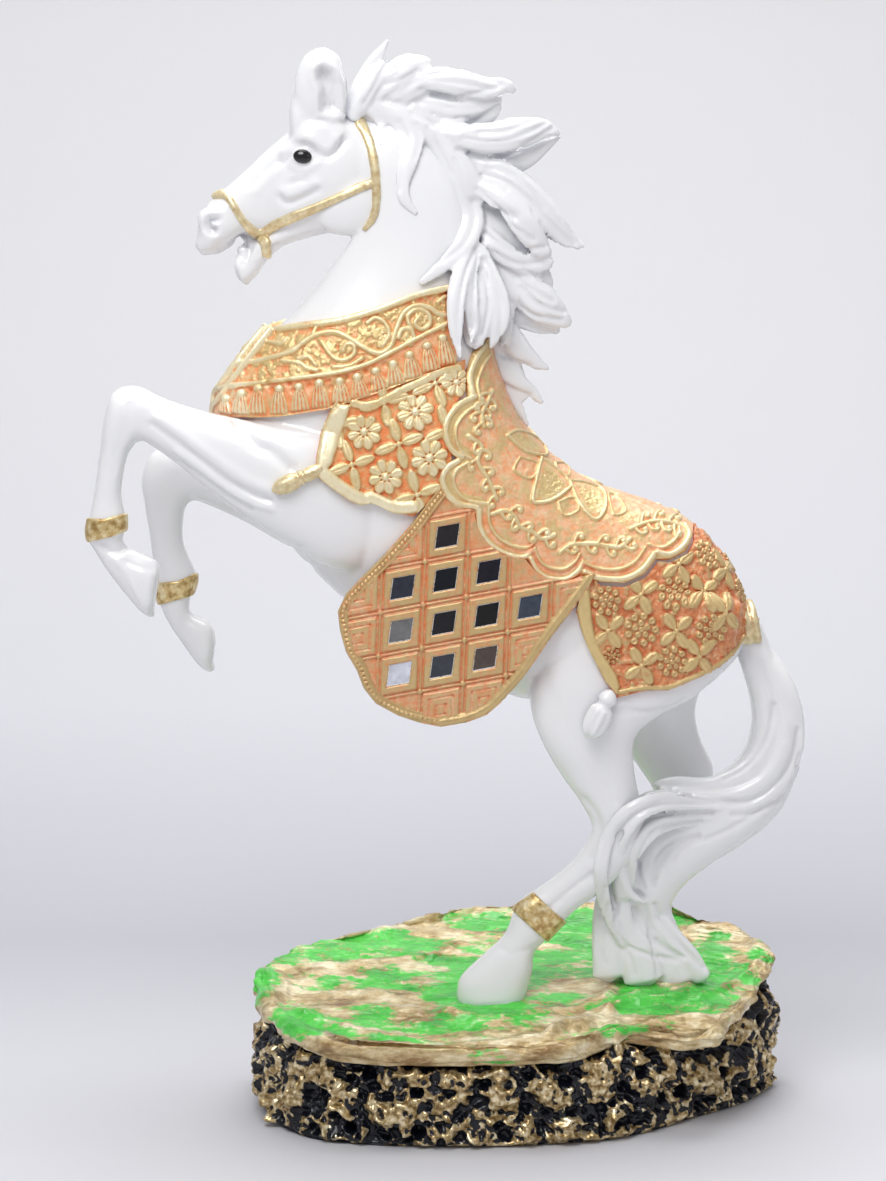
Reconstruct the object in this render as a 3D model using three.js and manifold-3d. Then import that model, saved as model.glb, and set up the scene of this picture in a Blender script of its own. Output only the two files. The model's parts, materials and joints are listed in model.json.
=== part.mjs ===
// A rearing horse in a festival caparison, standing on a painted rock and a lava plinth.
// Millimetres, +Z up. The horse faces -X and its left side is at -Y.
// The origin is the middle of the plinth's flat underside.
// The horse is laid out from the ground at its near hind hoof, in a group at GROUND_HEIGHT.

import * as THREE from 'three';
import { mergeVertices } from 'three/addons/utils/BufferGeometryUtils.js';
import Module from 'manifold-3d';

const wasm = await Module();
wasm.setup();

// Fits and wall sizes
const FIT = 0.3;
const CLOTH = 1.8;
const STRAP = 1.2;
const BAND = 1.1;
const RELIEF = 0.9;

// Base
const PLINTH_LENGTH = 202;
const PLINTH_DEPTH = 118;
const PLINTH_HEIGHT = 37.8;
const SLAB_LENGTH = 196;
const SLAB_DEPTH = 116;
const SLAB_THICKNESS = 8.2;
const GROUND_SLOPE = 0.2;
const PLINTH_TOP_SLOPE = 0.125;
const GROUND_HEIGHT = PLINTH_HEIGHT + SLAB_THICKNESS;
const NEAR_HOOF_Y = -20;

// Mirror flap
const FLAP_FACE = 33.4;
const FLAP_THICKNESS = 3.6;
const FLAP_CROWN = 2.2;
const MIRROR_SIZE = 8.4;
const MIRROR_THICKNESS = 0.8;
const MIRROR_COLUMN = 15.2;
const MIRROR_ROW = 15.9;
const MIRROR_RISE = 3.7;
const MIRROR_SKEW = 1.1;
const MIRROR_TILT = 2.2;

// Straps, bands, pins and rods
const STRAP_WIDTH = 3.2;
const THROAT_WIDTH = 2.4;
const ROD_RADIUS = 1.5;
const ROD_REACH = 38;
const PIN_RADIUS = 1.5;
const EYE_LENGTH = 6.6;
const EYE_HEIGHT = 5;
const EYE_DEPTH = 4.4;

// Mesh density
const RING_POINTS = 12;
const LIMB_POINTS = 10;
const RING_STEPS = 1;
const CAP_STEPS = 2;

// Smooth curve through rows of numbers
function between(rows, place) {
  const last = rows.length - 1;
  const index = Math.min(Math.floor(place), last - 1);
  const t = place - index;
  const row = (i) => rows[Math.max(0, Math.min(last, i))];
  const [a, b, c, d] = [row(index - 1), row(index), row(index + 1), row(index + 2)];
  return b.map((value, k) => {
    const slopeIn = (c[k] - a[k]) / 2;
    const slopeOut = (d[k] - b[k]) / 2;
    const rise = c[k] - value;
    return value + t * (slopeIn + t * (3 * rise - 2 * slopeIn - slopeOut + t * (slopeIn + slopeOut - 2 * rise)));
  });
}

// A place between two rows, straight from one to the next
function straight(rows, place) {
  const index = Math.min(Math.floor(place), rows.length - 2);
  return rows[index].map((value, k) => value + (rows[index + 1][k] - value) * (place - index));
}

function sampled(rows, from, to, steps) {
  const list = [];
  for (let i = 0; i <= steps; i += 1) {
    list.push(between(rows, from + ((to - from) * i) / steps));
  }
  return list;
}

function solid(vertices, triangles) {
  let volume = 0;
  for (const [a, b, c] of triangles) {
    volume += vertices[a].dot(new THREE.Vector3().crossVectors(vertices[b], vertices[c]));
  }
  const faces = volume > 0 ? triangles : triangles.map(([a, b, c]) => [a, c, b]);
  const mesh = new wasm.Mesh({
    numProp: 3,
    vertProperties: new Float32Array(vertices.flatMap((v) => [v.x, v.y, v.z])),
    triVerts: new Uint32Array(faces.flat()),
  });
  return new wasm.Manifold(mesh);
}

function ringFaces(ringCount, count, closed) {
  const triangles = [];
  for (let r = 0; r < (closed ? ringCount : ringCount - 1); r += 1) {
    const [here, there] = [r * count, ((r + 1) % ringCount) * count];
    for (let k = 0; k < count; k += 1) {
      const next = (k + 1) % count;
      triangles.push([here + k, here + next, there + next], [here + k, there + next, there + k]);
    }
  }
  return triangles;
}

// A closed skin over rings of equal point count, each end closed on its own middle
function skinRings(rings, startPole, endPole) {
  const count = rings[0].length;
  const vertices = rings.flat();
  const triangles = ringFaces(rings.length, count, false);
  const tail = (rings.length - 1) * count;
  const poles = [vertices.length, vertices.length + 1];
  vertices.push(startPole, endPole);
  for (let k = 0; k < count; k += 1) {
    const next = (k + 1) % count;
    triangles.push([poles[0], next, k], [poles[1], tail + k, tail + next]);
  }
  return solid(vertices, triangles);
}

// A ring hung between two rails in side view.
// Its row is [upper x, upper z, lower x, lower z, middle y, half width].
function hoop([ux, uz, lx, lz, y, half], { grow = 0, fullness = 2.2, points = RING_POINTS }) {
  const centre = new THREE.Vector3((ux + lx) / 2, y, (uz + lz) / 2);
  const up = new THREE.Vector3((ux - lx) / 2, 0, (uz - lz) / 2);
  up.setLength(up.length() + grow);
  const at = (scale, shift) => {
    const loop = [];
    for (let k = 0; k < points; k += 1) {
      const angle = (2 * Math.PI * k) / points;
      const c = Math.sign(Math.cos(angle)) * Math.abs(Math.cos(angle)) ** (2 / fullness);
      const s = Math.sign(Math.sin(angle)) * Math.abs(Math.sin(angle)) ** (2 / fullness);
      const point = centre.clone().addScaledVector(up, c * scale).add(shift);
      point.y += s * (half + grow) * scale;
      loop.push(point);
    }
    return loop;
  };
  return { centre, up, at };
}

// A loft through such rings, with rounded or flat ends
function railLoft(rows, options = {}) {
  const { grow = 0, ends = [4, 4], steps = RING_STEPS, capSteps = CAP_STEPS } = options;
  const hoops = sampled(rows, 0, rows.length - 1, (rows.length - 1) * steps).map((row) => hoop(row, options));
  const cap = (end, inner, reach) => {
    const axis = new THREE.Vector3(-end.up.z, 0, end.up.x).normalize();
    if (axis.dot(end.centre.clone().sub(inner.centre)) < 0) axis.negate();
    const length = reach > 0 ? reach + grow : 0;
    const rings = [];
    for (let j = 1; reach > 0 && j <= capSteps; j += 1) {
      const angle = (j / (capSteps + 1)) * (Math.PI / 2);
      rings.push(end.at(Math.cos(angle), axis.clone().multiplyScalar(length * Math.sin(angle))));
    }
    return { rings, pole: end.centre.clone().addScaledVector(axis, length) };
  };
  const none = new THREE.Vector3();
  const first = cap(hoops[0], hoops[1], ends[0]);
  const last = cap(hoops.at(-1), hoops.at(-2), ends[1]);
  const middle = hoops.map((ring) => ring.at(1, none));
  return skinRings([...first.rings.reverse(), ...middle, ...last.rings], first.pole, last.pole);
}

function fromGeometry(geometry) {
  const bare = geometry.clone();
  bare.deleteAttribute('normal');
  bare.deleteAttribute('uv');
  const merged = mergeVertices(bare, 1e-4);
  const place = merged.attributes.position;
  const vertices = [];
  for (let i = 0; i < place.count; i += 1) {
    vertices.push(new THREE.Vector3().fromBufferAttribute(place, i));
  }
  const triangles = [];
  for (let i = 0; i < merged.index.count; i += 3) {
    triangles.push([merged.index.getX(i), merged.index.getX(i + 1), merged.index.getX(i + 2)]);
  }
  return solid(vertices, triangles);
}

function toGeometry(manifold) {
  const mesh = manifold.getMesh();
  const geometry = new THREE.BufferGeometry();
  geometry.setAttribute('position', new THREE.BufferAttribute(mesh.vertProperties, 3));
  geometry.setIndex(new THREE.BufferAttribute(mesh.triVerts, 1));
  geometry.computeVertexNormals();
  return geometry;
}

const join = (parts) => parts.reduce((sum, part) => sum.add(part));
const cut = (stock, ...tools) => tools.reduce((rest, tool) => rest.subtract(tool), stock);
// The main body of a cut piece, without the crumbs that a cut can leave
const whole = (manifold) => manifold.decompose().reduce((best, part) => (part.volume() > best.volume() ? part : best));
const mirrored = (rows, y = 4) => rows.map((row) => row.map((value, k) => (k === y ? -value : value)));

// A wall standing on a side-view outline, right across the horse or on one side of it
function prism(outline, near = -80, far = 80) {
  const shape = new THREE.Shape(outline.map(([x, z]) => new THREE.Vector2(x, z)));
  const geometry = new THREE.ExtrudeGeometry(shape, { depth: far - near, bevelEnabled: false });
  geometry.rotateX(Math.PI / 2);
  geometry.translate(0, far, 0);
  return fromGeometry(geometry);
}

// The same outline moved outward by a margin, with mitred corners
function widened(outline, margin) {
  const corners = outline.map(([x, z]) => new THREE.Vector2(x, z));
  const side = THREE.ShapeUtils.isClockWise(corners) ? -1 : 1;
  const normal = (from, to) => new THREE.Vector2(to.y - from.y, from.x - to.x).normalize().multiplyScalar(side);
  return corners.map((corner, i) => {
    const before = normal(corners.at(i - 1), corner);
    const after = normal(corner, corners[(i + 1) % corners.length]);
    const mitre = before.clone().add(after).normalize();
    const reach = margin / Math.max(0.5, mitre.dot(after));
    return [corner.x + mitre.x * reach, corner.y + mitre.y * reach];
  });
}

function arcs(cusps, steps = 4) {
  const points = [];
  cusps.forEach(([x, z, bulge], i) => {
    points.push([x, z]);
    const next = cusps[i + 1];
    if (!next || !bulge) return;
    const [dx, dz] = [next[0] - x, next[1] - z];
    const length = Math.hypot(dx, dz);
    for (let k = 1; k < steps; k += 1) {
      const t = k / steps;
      const lift = 4 * bulge * t * (1 - t);
      points.push([x + dx * t + (dz / length) * lift, z + dz * t - (dx / length) * lift]);
    }
  });
  return points;
}

function curveOutline(points, steps = 2) {
  return sampled(points, 0, points.length - 1, (points.length - 1) * steps);
}

function stripe(points, width) {
  const line = curveOutline(points, 1);
  const edge = (side) => line.map(([x, z], i) => {
    const before = line[Math.max(0, i - 1)];
    const after = line[Math.min(line.length - 1, i + 1)];
    const along = new THREE.Vector2(after[0] - before[0], after[1] - before[1]).normalize();
    return [x - along.y * side * width / 2, z + along.x * side * width / 2];
  });
  return [...edge(1), ...edge(-1).reverse()];
}

// Profiles of the horse, each row [upper x, upper z, lower x, lower z, middle y, half width]
const NECK = [
  [-62, 325, -58, 289, 0, 11],
  [-44, 324, -62, 281.5, 0, 12.5],
  [-27, 311, -70, 272, 0, 13.5],
  [-18, 292, -79, 260.5, 0, 15.5],
  [-15, 269, -88.5, 250.5, 0, 19],
  [-14, 251, -99, 241, 0, 23],
  [-8, 228, -109, 227, 0, 26.5],
  [2, 206, -111, 212, 0, 27],
];
const TRUNK = [
  [-45, 238, -97, 190, 0, 25],
  [-25, 243, -88, 172, 0, 28.5],
  [-14, 236, -75, 157, 0, 30],
  [-4, 218, -58, 142, 0, 30.5],
  [7, 204, -38, 129, 0, 30],
  [21, 193, -18, 118.5, 0, 29.5],
  [37, 186, 0, 111, 0, 29],
  [57, 179, 12, 112, 0, 28.5],
  [72, 166, 24, 110, 0, 27],
  [81, 149, 38, 110, 0, 23],
  [83, 135, 58, 112, 0, 17],
];
const HEAD = [
  [-58, 326, -54, 292, 0, 10.5],
  [-70, 327.5, -63, 283.5, 0, 13.5],
  [-79, 325, -75, 284, 0, 14],
  [-87, 319, -84, 282.5, 0, 12.5],
  [-94, 313, -91, 282.5, 0, 10],
  [-101, 306.5, -97, 283, 0, 8.6],
  [-108.5, 300, -102, 282.5, 0, 8],
  [-114, 295.5, -107, 279.5, 0, 8.6],
  [-118, 288.5, -111, 277, 0, 8.4],
  [-119, 282, -115.5, 276.5, 0, 6.6],
];
const JAW = [
  [-74, 292, -70, 284, 0, 9],
  [-88, 287, -86, 279.5, 0, 8],
  [-96, 282, -93, 274, 0, 6.5],
  [-100.5, 279, -97, 269.5, 0, 6],
  [-104, 275, -101.5, 266.5, 0, 5.5],
];
const EAR = [
  [-81, 322, -65, 322, -7, 4],
  [-82.5, 332, -64.5, 332, -9, 4.5],
  [-82, 341, -65, 341, -10, 4],
  [-79, 347.5, -67, 347.5, -10.5, 3],
  [-75, 350, -71, 350, -10.5, 1.5],
];
const EAR_CUP = [
  [-79, 329, -68, 329, -14.5, 2.6],
  [-79, 338, -68, 338, -14.5, 3.4],
  [-76, 345, -70, 345, -13.5, 2],
];
const NEAR_HIND = [
  [12, 159, 80, 147, -14, 14],
  [6, 139, 72, 126, -16, 13.5],
  [3, 122, 60, 117, -18, 13],
  [3.5, 109, 48, 112, -19, 12],
  [8, 97, 42, 100, -20, 10.5],
  [15, 85, 41.5, 88, -20, 8.5],
  [22, 75, 44, 76, -20, 7.5],
  [26, 65, 48, 64, -20, 7.2],
  [20, 54, 34, 45, -20, 6.5],
  [10, 45, 20, 34, -20, 6],
  [-1, 37, 10, 23.5, -20, 7],
  [-6, 25, 5, 18, -20, 6.5],
  [-13, 15.5, 4.5, 11, -20, 8.5],
  [-21, 6.5, 3, 4, -20, 10],
  [-23, -1, 1.5, -1, -20, 10.5],
];
const FAR_HIND = [
  [14, 159, 82, 146, 14, 14],
  [12, 139, 78, 127, 16, 13.5],
  [16, 120, 71, 115, 18, 13],
  [25, 104, 67, 103, 19, 12],
  [37, 91, 69, 91, 20, 9.5],
  [46, 79, 74, 80, 20, 8],
  [52, 69, 73, 71, 20, 7.5],
  [52, 59, 67, 58, 20, 6.5],
  [46, 46, 58, 44, 20, 6],
  [43.5, 35, 56.5, 31, 20, 7],
  [40, 26, 54, 21, 20, 6.3],
  [36, 18, 55, 14, 20, 8.5],
  [32, 10.5, 56, 9.5, 20, 10],
  [31, 6.5, 56, 6.5, 20, 10.5],
];
const NEAR_FORE = [
  [-52, 216, -60, 160, -17, 12],
  [-70, 216, -72, 164, -20, 12],
  [-90, 216, -84, 171, -22, 11.5],
  [-105, 218.5, -98, 180, -22, 10.5],
  [-118, 221.5, -112, 190.5, -22, 9.5],
  [-130, 225.5, -124, 200.5, -22, 8.5],
  [-140, 230, -133.5, 207.5, -22, 8],
  [-148.5, 227.5, -138, 210, -22, 8],
  [-152, 217, -141.5, 208, -22, 7.5],
  [-153.5, 206, -144.2, 202, -22, 6.3],
  [-156, 190, -146, 191, -22, 5.8],
  [-158.5, 176, -144.5, 180.5, -22, 6.8],
  [-155, 167, -143, 173.5, -22, 6],
  [-150, 160, -138.5, 169.5, -22, 6.8],
  [-143.5, 152.5, -133.5, 162.5, -22, 7.6],
  [-138, 147, -132.5, 153, -22, 6],
];
const FAR_FORE = [
  [-55, 212, -62, 160, 17, 12],
  [-75, 212, -76, 162, 20, 12],
  [-92, 211, -88, 165, 22, 11.5],
  [-106, 209.5, -101, 172.5, 22, 10.5],
  [-119, 207, -111, 177.5, 22, 9.3],
  [-130, 204.5, -119, 181, 22, 8.5],
  [-138.5, 200, -123, 182, 22, 8],
  [-142.5, 190.5, -125.5, 180.5, 22, 7.6],
  [-141.5, 180, -127, 175.5, 22, 6.5],
  [-139.5, 166, -127, 165.5, 22, 5.8],
  [-138, 152, -122.5, 153.5, 22, 6.8],
  [-136.5, 143, -124.5, 146, 22, 6],
  [-132, 135, -119, 141, 22, 6.8],
  [-126, 126, -115.5, 133.5, 22, 7.6],
  [-120.5, 118.5, -115, 124, 22, 6],
];
const TAIL = [
  [89, 140, 80, 129, 0, 5],
  [99, 117, 85, 113.5, 0, 7.5],
  [105, 104, 86.5, 102, 0, 8.5],
  [105.5, 90, 84, 91, 0, 9],
  [101, 75, 77, 83, 0, 9.5],
  [90, 61, 66, 78, -2, 10],
  [74, 50, 51, 73, -5, 10],
  [62, 41, 39, 62, -7, 10],
  [57, 32, 32, 44, -6, 10],
  [60, 22, 30, 22, -4, 12],
  [70, 1, 31, 1, 0, 13],
];

// Places along a leg's rows where it leaves the body, and where its band sits
const FORE_SEAM = 1.8;
const NEAR_FORE_BAND = [10.65, 11.35];
const FAR_FORE_BAND = [9.65, 10.35];
const NEAR_HIND_BAND = [9.7, 10.35];
const FAR_HIND_BAND = [9.1, 9.75];
const TAIL_RING = [0.1, 0.55];

// Cloth outlines in side view
const SADDLE_CUSPS = [
  [-12, 262, 0],
  [-17, 246, 2.5],
  [-17.9, 226.2, 8.6],
  [-23.3, 203.4, 9],
  [-18.6, 185.5, 6],
  [0.3, 169.4, 6],
  [23.6, 162.8, 6],
  [46, 170.9, 6],
  [65.8, 183.7, 0],
  [72, 205, 0],
];
const SEAT_MIDDLE = [14, 203];
const SEAT_SHAPES = [
  [[6.4, 211], [1.5, 196], [12, 189.5], [19.5, 201]],
  [[20.5, 201.5], [26, 187.5], [33.5, 191], [33, 200]],
];
const COLLAR_LINE = [
  [-25.8, 267.2],
  [-44.5, 259.3],
  [-66, 253.2],
  [-94, 249.5],
  [-112, 250],
  [-126, 236],
  [-126, 221],
  [-114, 220.8],
  [-89.6, 219.4],
  [-77, 220.1],
  [-53.5, 224.8],
  [-35.5, 232.7],
  [-25.8, 237.1],
];
const PANEL_LINE = [
  [-58, 232],
  [-66.1, 222.6],
  [-68.7, 216.5],
  [-74, 209],
  [-74, 199],
  [-64.5, 192.1],
  [-53.7, 188.1],
  [-40, 184.6],
  [-33.8, 189.9],
  [-29, 197],
  [-16, 206],
  [-10, 232],
  [-30, 246],
];
const FLAP_LINE = [
  [-14, 204],
  [-29.8, 197],
  [-44.6, 178.8],
  [-64.6, 155],
  [-65.4, 138.4],
  [-58.5, 123.6],
  [-41.1, 110.6],
  [-28.3, 107.3],
  [-15.6, 109.1],
  [-6.5, 116.2],
  [13.4, 142.1],
  [25.5, 160],
  [22, 176],
];
const CROUP_LINE = [
  [34, 184],
  [24.4, 162],
  [21.5, 152.5],
  [20.1, 143.2],
  [24.6, 132.1],
  [34.9, 116.5],
  [46.6, 118.4],
  [57.5, 119.1],
  [68.5, 122.8],
  [77.4, 130.1],
  [95, 138],
  [100, 165],
  [76, 200],
];
const NOSE_LINE = [[-114, 306], [-107, 297.5], [-100.5, 289], [-94.5, 281], [-88, 271]];
const CHEEK_LINE = [[-96, 285.5], [-80.7, 294], [-66.2, 298.5], [-52, 303]];
const THROAT_LINE = [[-62, 336], [-56.5, 318.5], [-54, 307], [-52.8, 295], [-54.5, 289.5], [-58.5, 285], [-63.5, 279.5]];

const LOFTS = {
  neck: [NECK, { ends: [6, 14], points: 10 }],
  trunk: [TRUNK, { ends: [10, 5] }],
  head: [HEAD, { ends: [5, 2.2], points: 10 }],
  jaw: [JAW, { ends: [2, 2], points: 8, capSteps: 1 }],
  nearEar: [EAR, { ends: [1, 1], points: 8, capSteps: 1 }],
  farEar: [mirrored(EAR), { ends: [1, 1], points: 8, capSteps: 1 }],
  nearHind: [NEAR_HIND, { ends: [5, 0], points: LIMB_POINTS }],
  farHind: [FAR_HIND, { ends: [5, 0], points: LIMB_POINTS }],
  nearShoulder: [[...NEAR_FORE.slice(0, 2), straight(NEAR_FORE, FORE_SEAM)], { ends: [4, 0], points: LIMB_POINTS }],
  farShoulder: [[...FAR_FORE.slice(0, 2), straight(FAR_FORE, FORE_SEAM)], { ends: [4, 0], points: LIMB_POINTS }],
};
const FORE_OPTIONS = { ends: [4, 2], points: LIMB_POINTS };

function casting(names, grow = 0) {
  return join(names.map((name) => {
    const [rows, options] = LOFTS[name];
    return railLoft(rows, { ...options, grow });
  }));
}

const HEAD_PARTS = ['neck', 'head', 'jaw'];
const CORE_PARTS = ['neck', 'trunk', 'head', 'jaw', 'nearEar', 'farEar', 'nearHind', 'farHind'];
const BODY_PARTS = [...CORE_PARTS, 'nearShoulder', 'farShoulder'];

function dressedSkin(grow) {
  const legs = [NEAR_FORE, FAR_FORE].map((rows) => railLoft(rows, { ...FORE_OPTIONS, grow }));
  return casting(BODY_PARTS, grow).add(legs[0]).add(legs[1]);
}

const skin = dressedSkin(FIT);
const clothSkin = dressedSkin(FIT + CLOTH);
const overSkin = dressedSkin(FIT + CLOTH + FIT);

// Pins, rods and eyes, each with the hole that takes it
function roundBar(points, radius, steps) {
  const curve = new THREE.CatmullRomCurve3(points.map(([x, y, z]) => new THREE.Vector3(x, y, z)));
  const circle = new THREE.Shape();
  circle.absarc(0, 0, radius, 0, 2 * Math.PI);
  const options = { steps, bevelEnabled: false, extrudePath: curve, curveSegments: 3 };
  return fromGeometry(new THREE.ExtrudeGeometry(circle, options));
}

const ROD_STEPS = 11;
const NEAR_ROD = [
  [-9, NEAR_HOOF_Y, -ROD_REACH],
  [-9, NEAR_HOOF_Y, -15],
  [-8, NEAR_HOOF_Y, 5],
  [-3, NEAR_HOOF_Y, 16],
  [5, NEAR_HOOF_Y, 30],
  [15, NEAR_HOOF_Y, 39.5],
  [26.5, NEAR_HOOF_Y, 50],
  [36, NEAR_HOOF_Y, 64],
  [32, NEAR_HOOF_Y, 79],
  [26, NEAR_HOOF_Y, 98],
];
const FAR_ROD = [
  [44, -NEAR_HOOF_Y, -ROD_REACH],
  [44, -NEAR_HOOF_Y, -15],
  [44.5, -NEAR_HOOF_Y, 6],
  [46, -NEAR_HOOF_Y, 20],
  [49.5, -NEAR_HOOF_Y, 33],
  [52, -NEAR_HOOF_Y, 47],
  [60, -NEAR_HOOF_Y, 65],
  [58, -NEAR_HOOF_Y, 82],
  [48, -NEAR_HOOF_Y, 102],
];
const rods = [NEAR_ROD, FAR_ROD].map((points) => ({
  bar: roundBar(points, ROD_RADIUS, ROD_STEPS),
  bore: roundBar(extended(points), ROD_RADIUS + FIT, ROD_STEPS),
}));

// A path made a little longer at its far end, for a hole with room at its bottom
function extended(points) {
  const end = points.at(-1);
  const before = points.at(-2);
  const along = end.map((value, k) => value - before[k]);
  const length = Math.hypot(...along);
  const longer = end.map((value, k) => value + (along[k] / length) * 2 * FIT);
  const start = points[0].map((value, k) => (k === 2 ? value - 2 * FIT : value));
  return [start, ...points.slice(1, -1), longer];
}

const PIN_PATHS = {
  near_foreleg_pin: [[-79, -21.6, 192], [-99, -22, 197.5]],
  far_foreleg_pin: [[-83, 21.4, 187.5], [-103, 22, 190.5]],
  tail_pin: [[76, 0, 142], [90, 0, 122]],
};
const pins = Object.entries(PIN_PATHS).map(([name, points]) => {
  const back = points[0].map((value, k) => value + (value - points[1][k]) * 0.03);
  const front = points[1].map((value, k) => value + (value - points[0][k]) * 0.03);
  return { name, bar: roundBar(points, PIN_RADIUS, 1), bore: roundBar([back, front], PIN_RADIUS + FIT, 1) };
});
const pinBores = pins.map(({ bore }) => bore);
const rodBores = rods.map(({ bore }) => bore);

function ball(x, y, z, length, depth, height, grow = 0) {
  const geometry = new THREE.SphereGeometry(0.5, 8, 5);
  geometry.scale(length + 2 * grow, depth + 2 * grow, height + 2 * grow);
  geometry.translate(x, y, z);
  return fromGeometry(geometry);
}

const EYE_PLACE = [-80, 12.6, 311.5];
const eye = (side, grow = 0) => ball(
  EYE_PLACE[0], side * EYE_PLACE[1], EYE_PLACE[2], EYE_LENGTH, EYE_DEPTH, EYE_HEIGHT, grow,
);
const nostril = (side) => ball(-113.5, side * 8.6, 287.5, 3.4, 3, 4.6);

// The horse casting
const core = casting(BODY_PARTS);
const earCups = [EAR_CUP, mirrored(EAR_CUP)].map((rows) => railLoft(rows, { ends: [1, 1], points: 6, capSteps: 1 }));
const horseBody = cut(
  core, ...earCups, eye(-1, FIT), eye(1, FIT), nostril(-1), nostril(1), ...rodBores, ...pinBores,
);

const coreRoom = casting(BODY_PARTS, FIT);
function foreleg(rows) {
  const [root, next] = [rows[1], rows[2]];
  const spacing = Math.hypot(next[0] + next[2] - root[0] - root[2], next[1] + next[3] - root[1] - root[3]) / 2;
  const start = straight(rows, FORE_SEAM + FIT / spacing);
  const limb = railLoft([start, ...rows.slice(Math.ceil(FORE_SEAM))], { ...FORE_OPTIONS, ends: [0, 2] });
  return cut(limb, coreRoom, ...pinBores);
}

// A sleeve round a limb, from one place along its rows to another, through the row between them
function sleeve(rows, [from, to], thickness, options) {
  const places = [from, ...[Math.ceil(from)].filter((place) => place < to), to];
  const none = new THREE.Vector3();
  const rings = (grow) => places.map((place) => hoop(straight(rows, place), { ...options, grow }).at(1, none));
  const loops = [...rings(FIT + thickness), ...rings(FIT).reverse()];
  return solid(loops.flat(), ringFaces(loops.length, loops[0].length, true));
}

// Cloth pieces moulded over the skin, each kept clear of those laid before it
const OVERLAP = 6;
const RIM_SHARE = 0.91;
const collarOutline = curveOutline(COLLAR_LINE);
const saddleOutline = arcs(SADDLE_CUSPS);
const croupOutline = curveOutline(CROUP_LINE, 1);
const panelOutline = curveOutline(PANEL_LINE, 1);
const flapOutline = curveOutline(FLAP_LINE);
const collarRoom = prism(widened(collarOutline, FIT));
const saddleRoom = prism(widened(saddleOutline, FIT));
const croupRoom = prism(widened(croupOutline, FIT));

const clothShell = (outline, near, far) => clothSkin.intersect(prism(outline, near, far)).subtract(skin);
const tailStart = railLoft(TAIL.slice(0, 4), { ends: [8, 0], grow: FIT + BAND + FIT });
const collar = casting(['neck', 'trunk'], FIT + CLOTH).intersect(prism(collarOutline)).subtract(skin);
const reliefSkin = dressedSkin(FIT + CLOTH + RELIEF);
const rimInside = arcs(SADDLE_CUSPS, 2).map(([x, z]) => [
  SEAT_MIDDLE[0] + (x - SEAT_MIDDLE[0]) * RIM_SHARE,
  SEAT_MIDDLE[1] + (z - SEAT_MIDDLE[1]) * RIM_SHARE,
]);
const saddleRaised = cut(prism(saddleOutline), prism(rimInside)).add(join(SEAT_SHAPES.map((outline) => prism(outline))));
const saddleCloth = cut(
  clothSkin.intersect(prism(saddleOutline)).add(reliefSkin.intersect(saddleRaised)), skin, collarRoom,
);
const croupCloth = cut(clothShell(croupOutline), saddleRoom, tailStart);
const nearPanel = cut(clothShell(panelOutline, -80, -OVERLAP), collarRoom, saddleRoom);
const farPanel = cut(clothShell(panelOutline, OVERLAP, 80), collarRoom, saddleRoom);
const panelRoom = prism(widened(panelOutline, FIT));

// The flap hangs flat below the saddle cloth, slightly crowned
const FLAP_MIDDLE = [-22, 150];
const FLAP_SPAN = 45;
const flapFace = (x, z) => {
  const away = Math.hypot(x - FLAP_MIDDLE[0], z - FLAP_MIDDLE[1]) / FLAP_SPAN;
  return FLAP_FACE - FLAP_CROWN * away * away;
};

function crownedSlab(side) {
  const cells = 6;
  const rings = [];
  const reach = 55;
  for (const depth of [0, FLAP_THICKNESS]) {
    for (let i = 0; i <= cells; i += 1) {
      for (let k = 0; k <= cells; k += 1) {
        const x = FLAP_MIDDLE[0] + ((2 * i) / cells - 1) * reach;
        const z = FLAP_MIDDLE[1] + ((2 * k) / cells - 1) * reach;
        rings.push(new THREE.Vector3(x, side * (flapFace(x, z) - depth), z));
      }
    }
  }
  const row = cells + 1;
  const back = row * row;
  const triangles = [];
  for (let i = 0; i < cells; i += 1) {
    for (let k = 0; k < cells; k += 1) {
      const a = i * row + k;
      const [b, c, d] = [a + row, a + row + 1, a + 1];
      triangles.push([a, b, c], [a, c, d], [a + back, c + back, b + back], [a + back, d + back, c + back]);
    }
  }
  const rim = [];
  for (let i = 0; i < cells; i += 1) rim.push(i * row);
  for (let k = 0; k < cells; k += 1) rim.push(cells * row + k);
  for (let i = cells; i > 0; i -= 1) rim.push(i * row + cells);
  for (let k = cells; k > 0; k -= 1) rim.push(k);
  rim.forEach((a, i) => {
    const b = rim[(i + 1) % rim.length];
    triangles.push([a, b + back, b], [a, a + back, b + back]);
  });
  return solid(rings, triangles);
}

// Mirror tiles in columns on the flap: [column, first row, last row]
const MIRROR_COLUMNS = [[-1, 1, 3], [0, 0, 3], [1, 1, 3], [2, 2, 2]];
const MIRROR_START = [-28.5, 176];
const mirrorPlaces = MIRROR_COLUMNS.flatMap(([column, first, last]) => {
  const list = [];
  for (let row = first; row <= last; row += 1) {
    list.push([
      MIRROR_START[0] + column * MIRROR_COLUMN,
      MIRROR_START[1] + column * MIRROR_RISE - row * MIRROR_ROW,
    ]);
  }
  return list;
});

function mirrorOutline([x, z], grow = 0) {
  const half = MIRROR_SIZE / 2 + grow;
  const skew = (MIRROR_SKEW / MIRROR_SIZE) * half;
  const tilt = (MIRROR_TILT / MIRROR_SIZE) * half;
  return [[-1, -1], [1, -1], [1, 1], [-1, 1]].map(([i, k]) => [x + i * half + k * skew, z + k * half + i * tilt]);
}

function mirrorTile(place, side, grow = 0) {
  const face = flapFace(...place);
  const floor = face - MIRROR_THICKNESS - grow;
  const top = grow > 0 ? FLAP_FACE + 1 : face;
  const [near, far] = side < 0 ? [-top, -floor] : [floor, top];
  return prism(mirrorOutline(place, grow), near, far);
}

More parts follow.
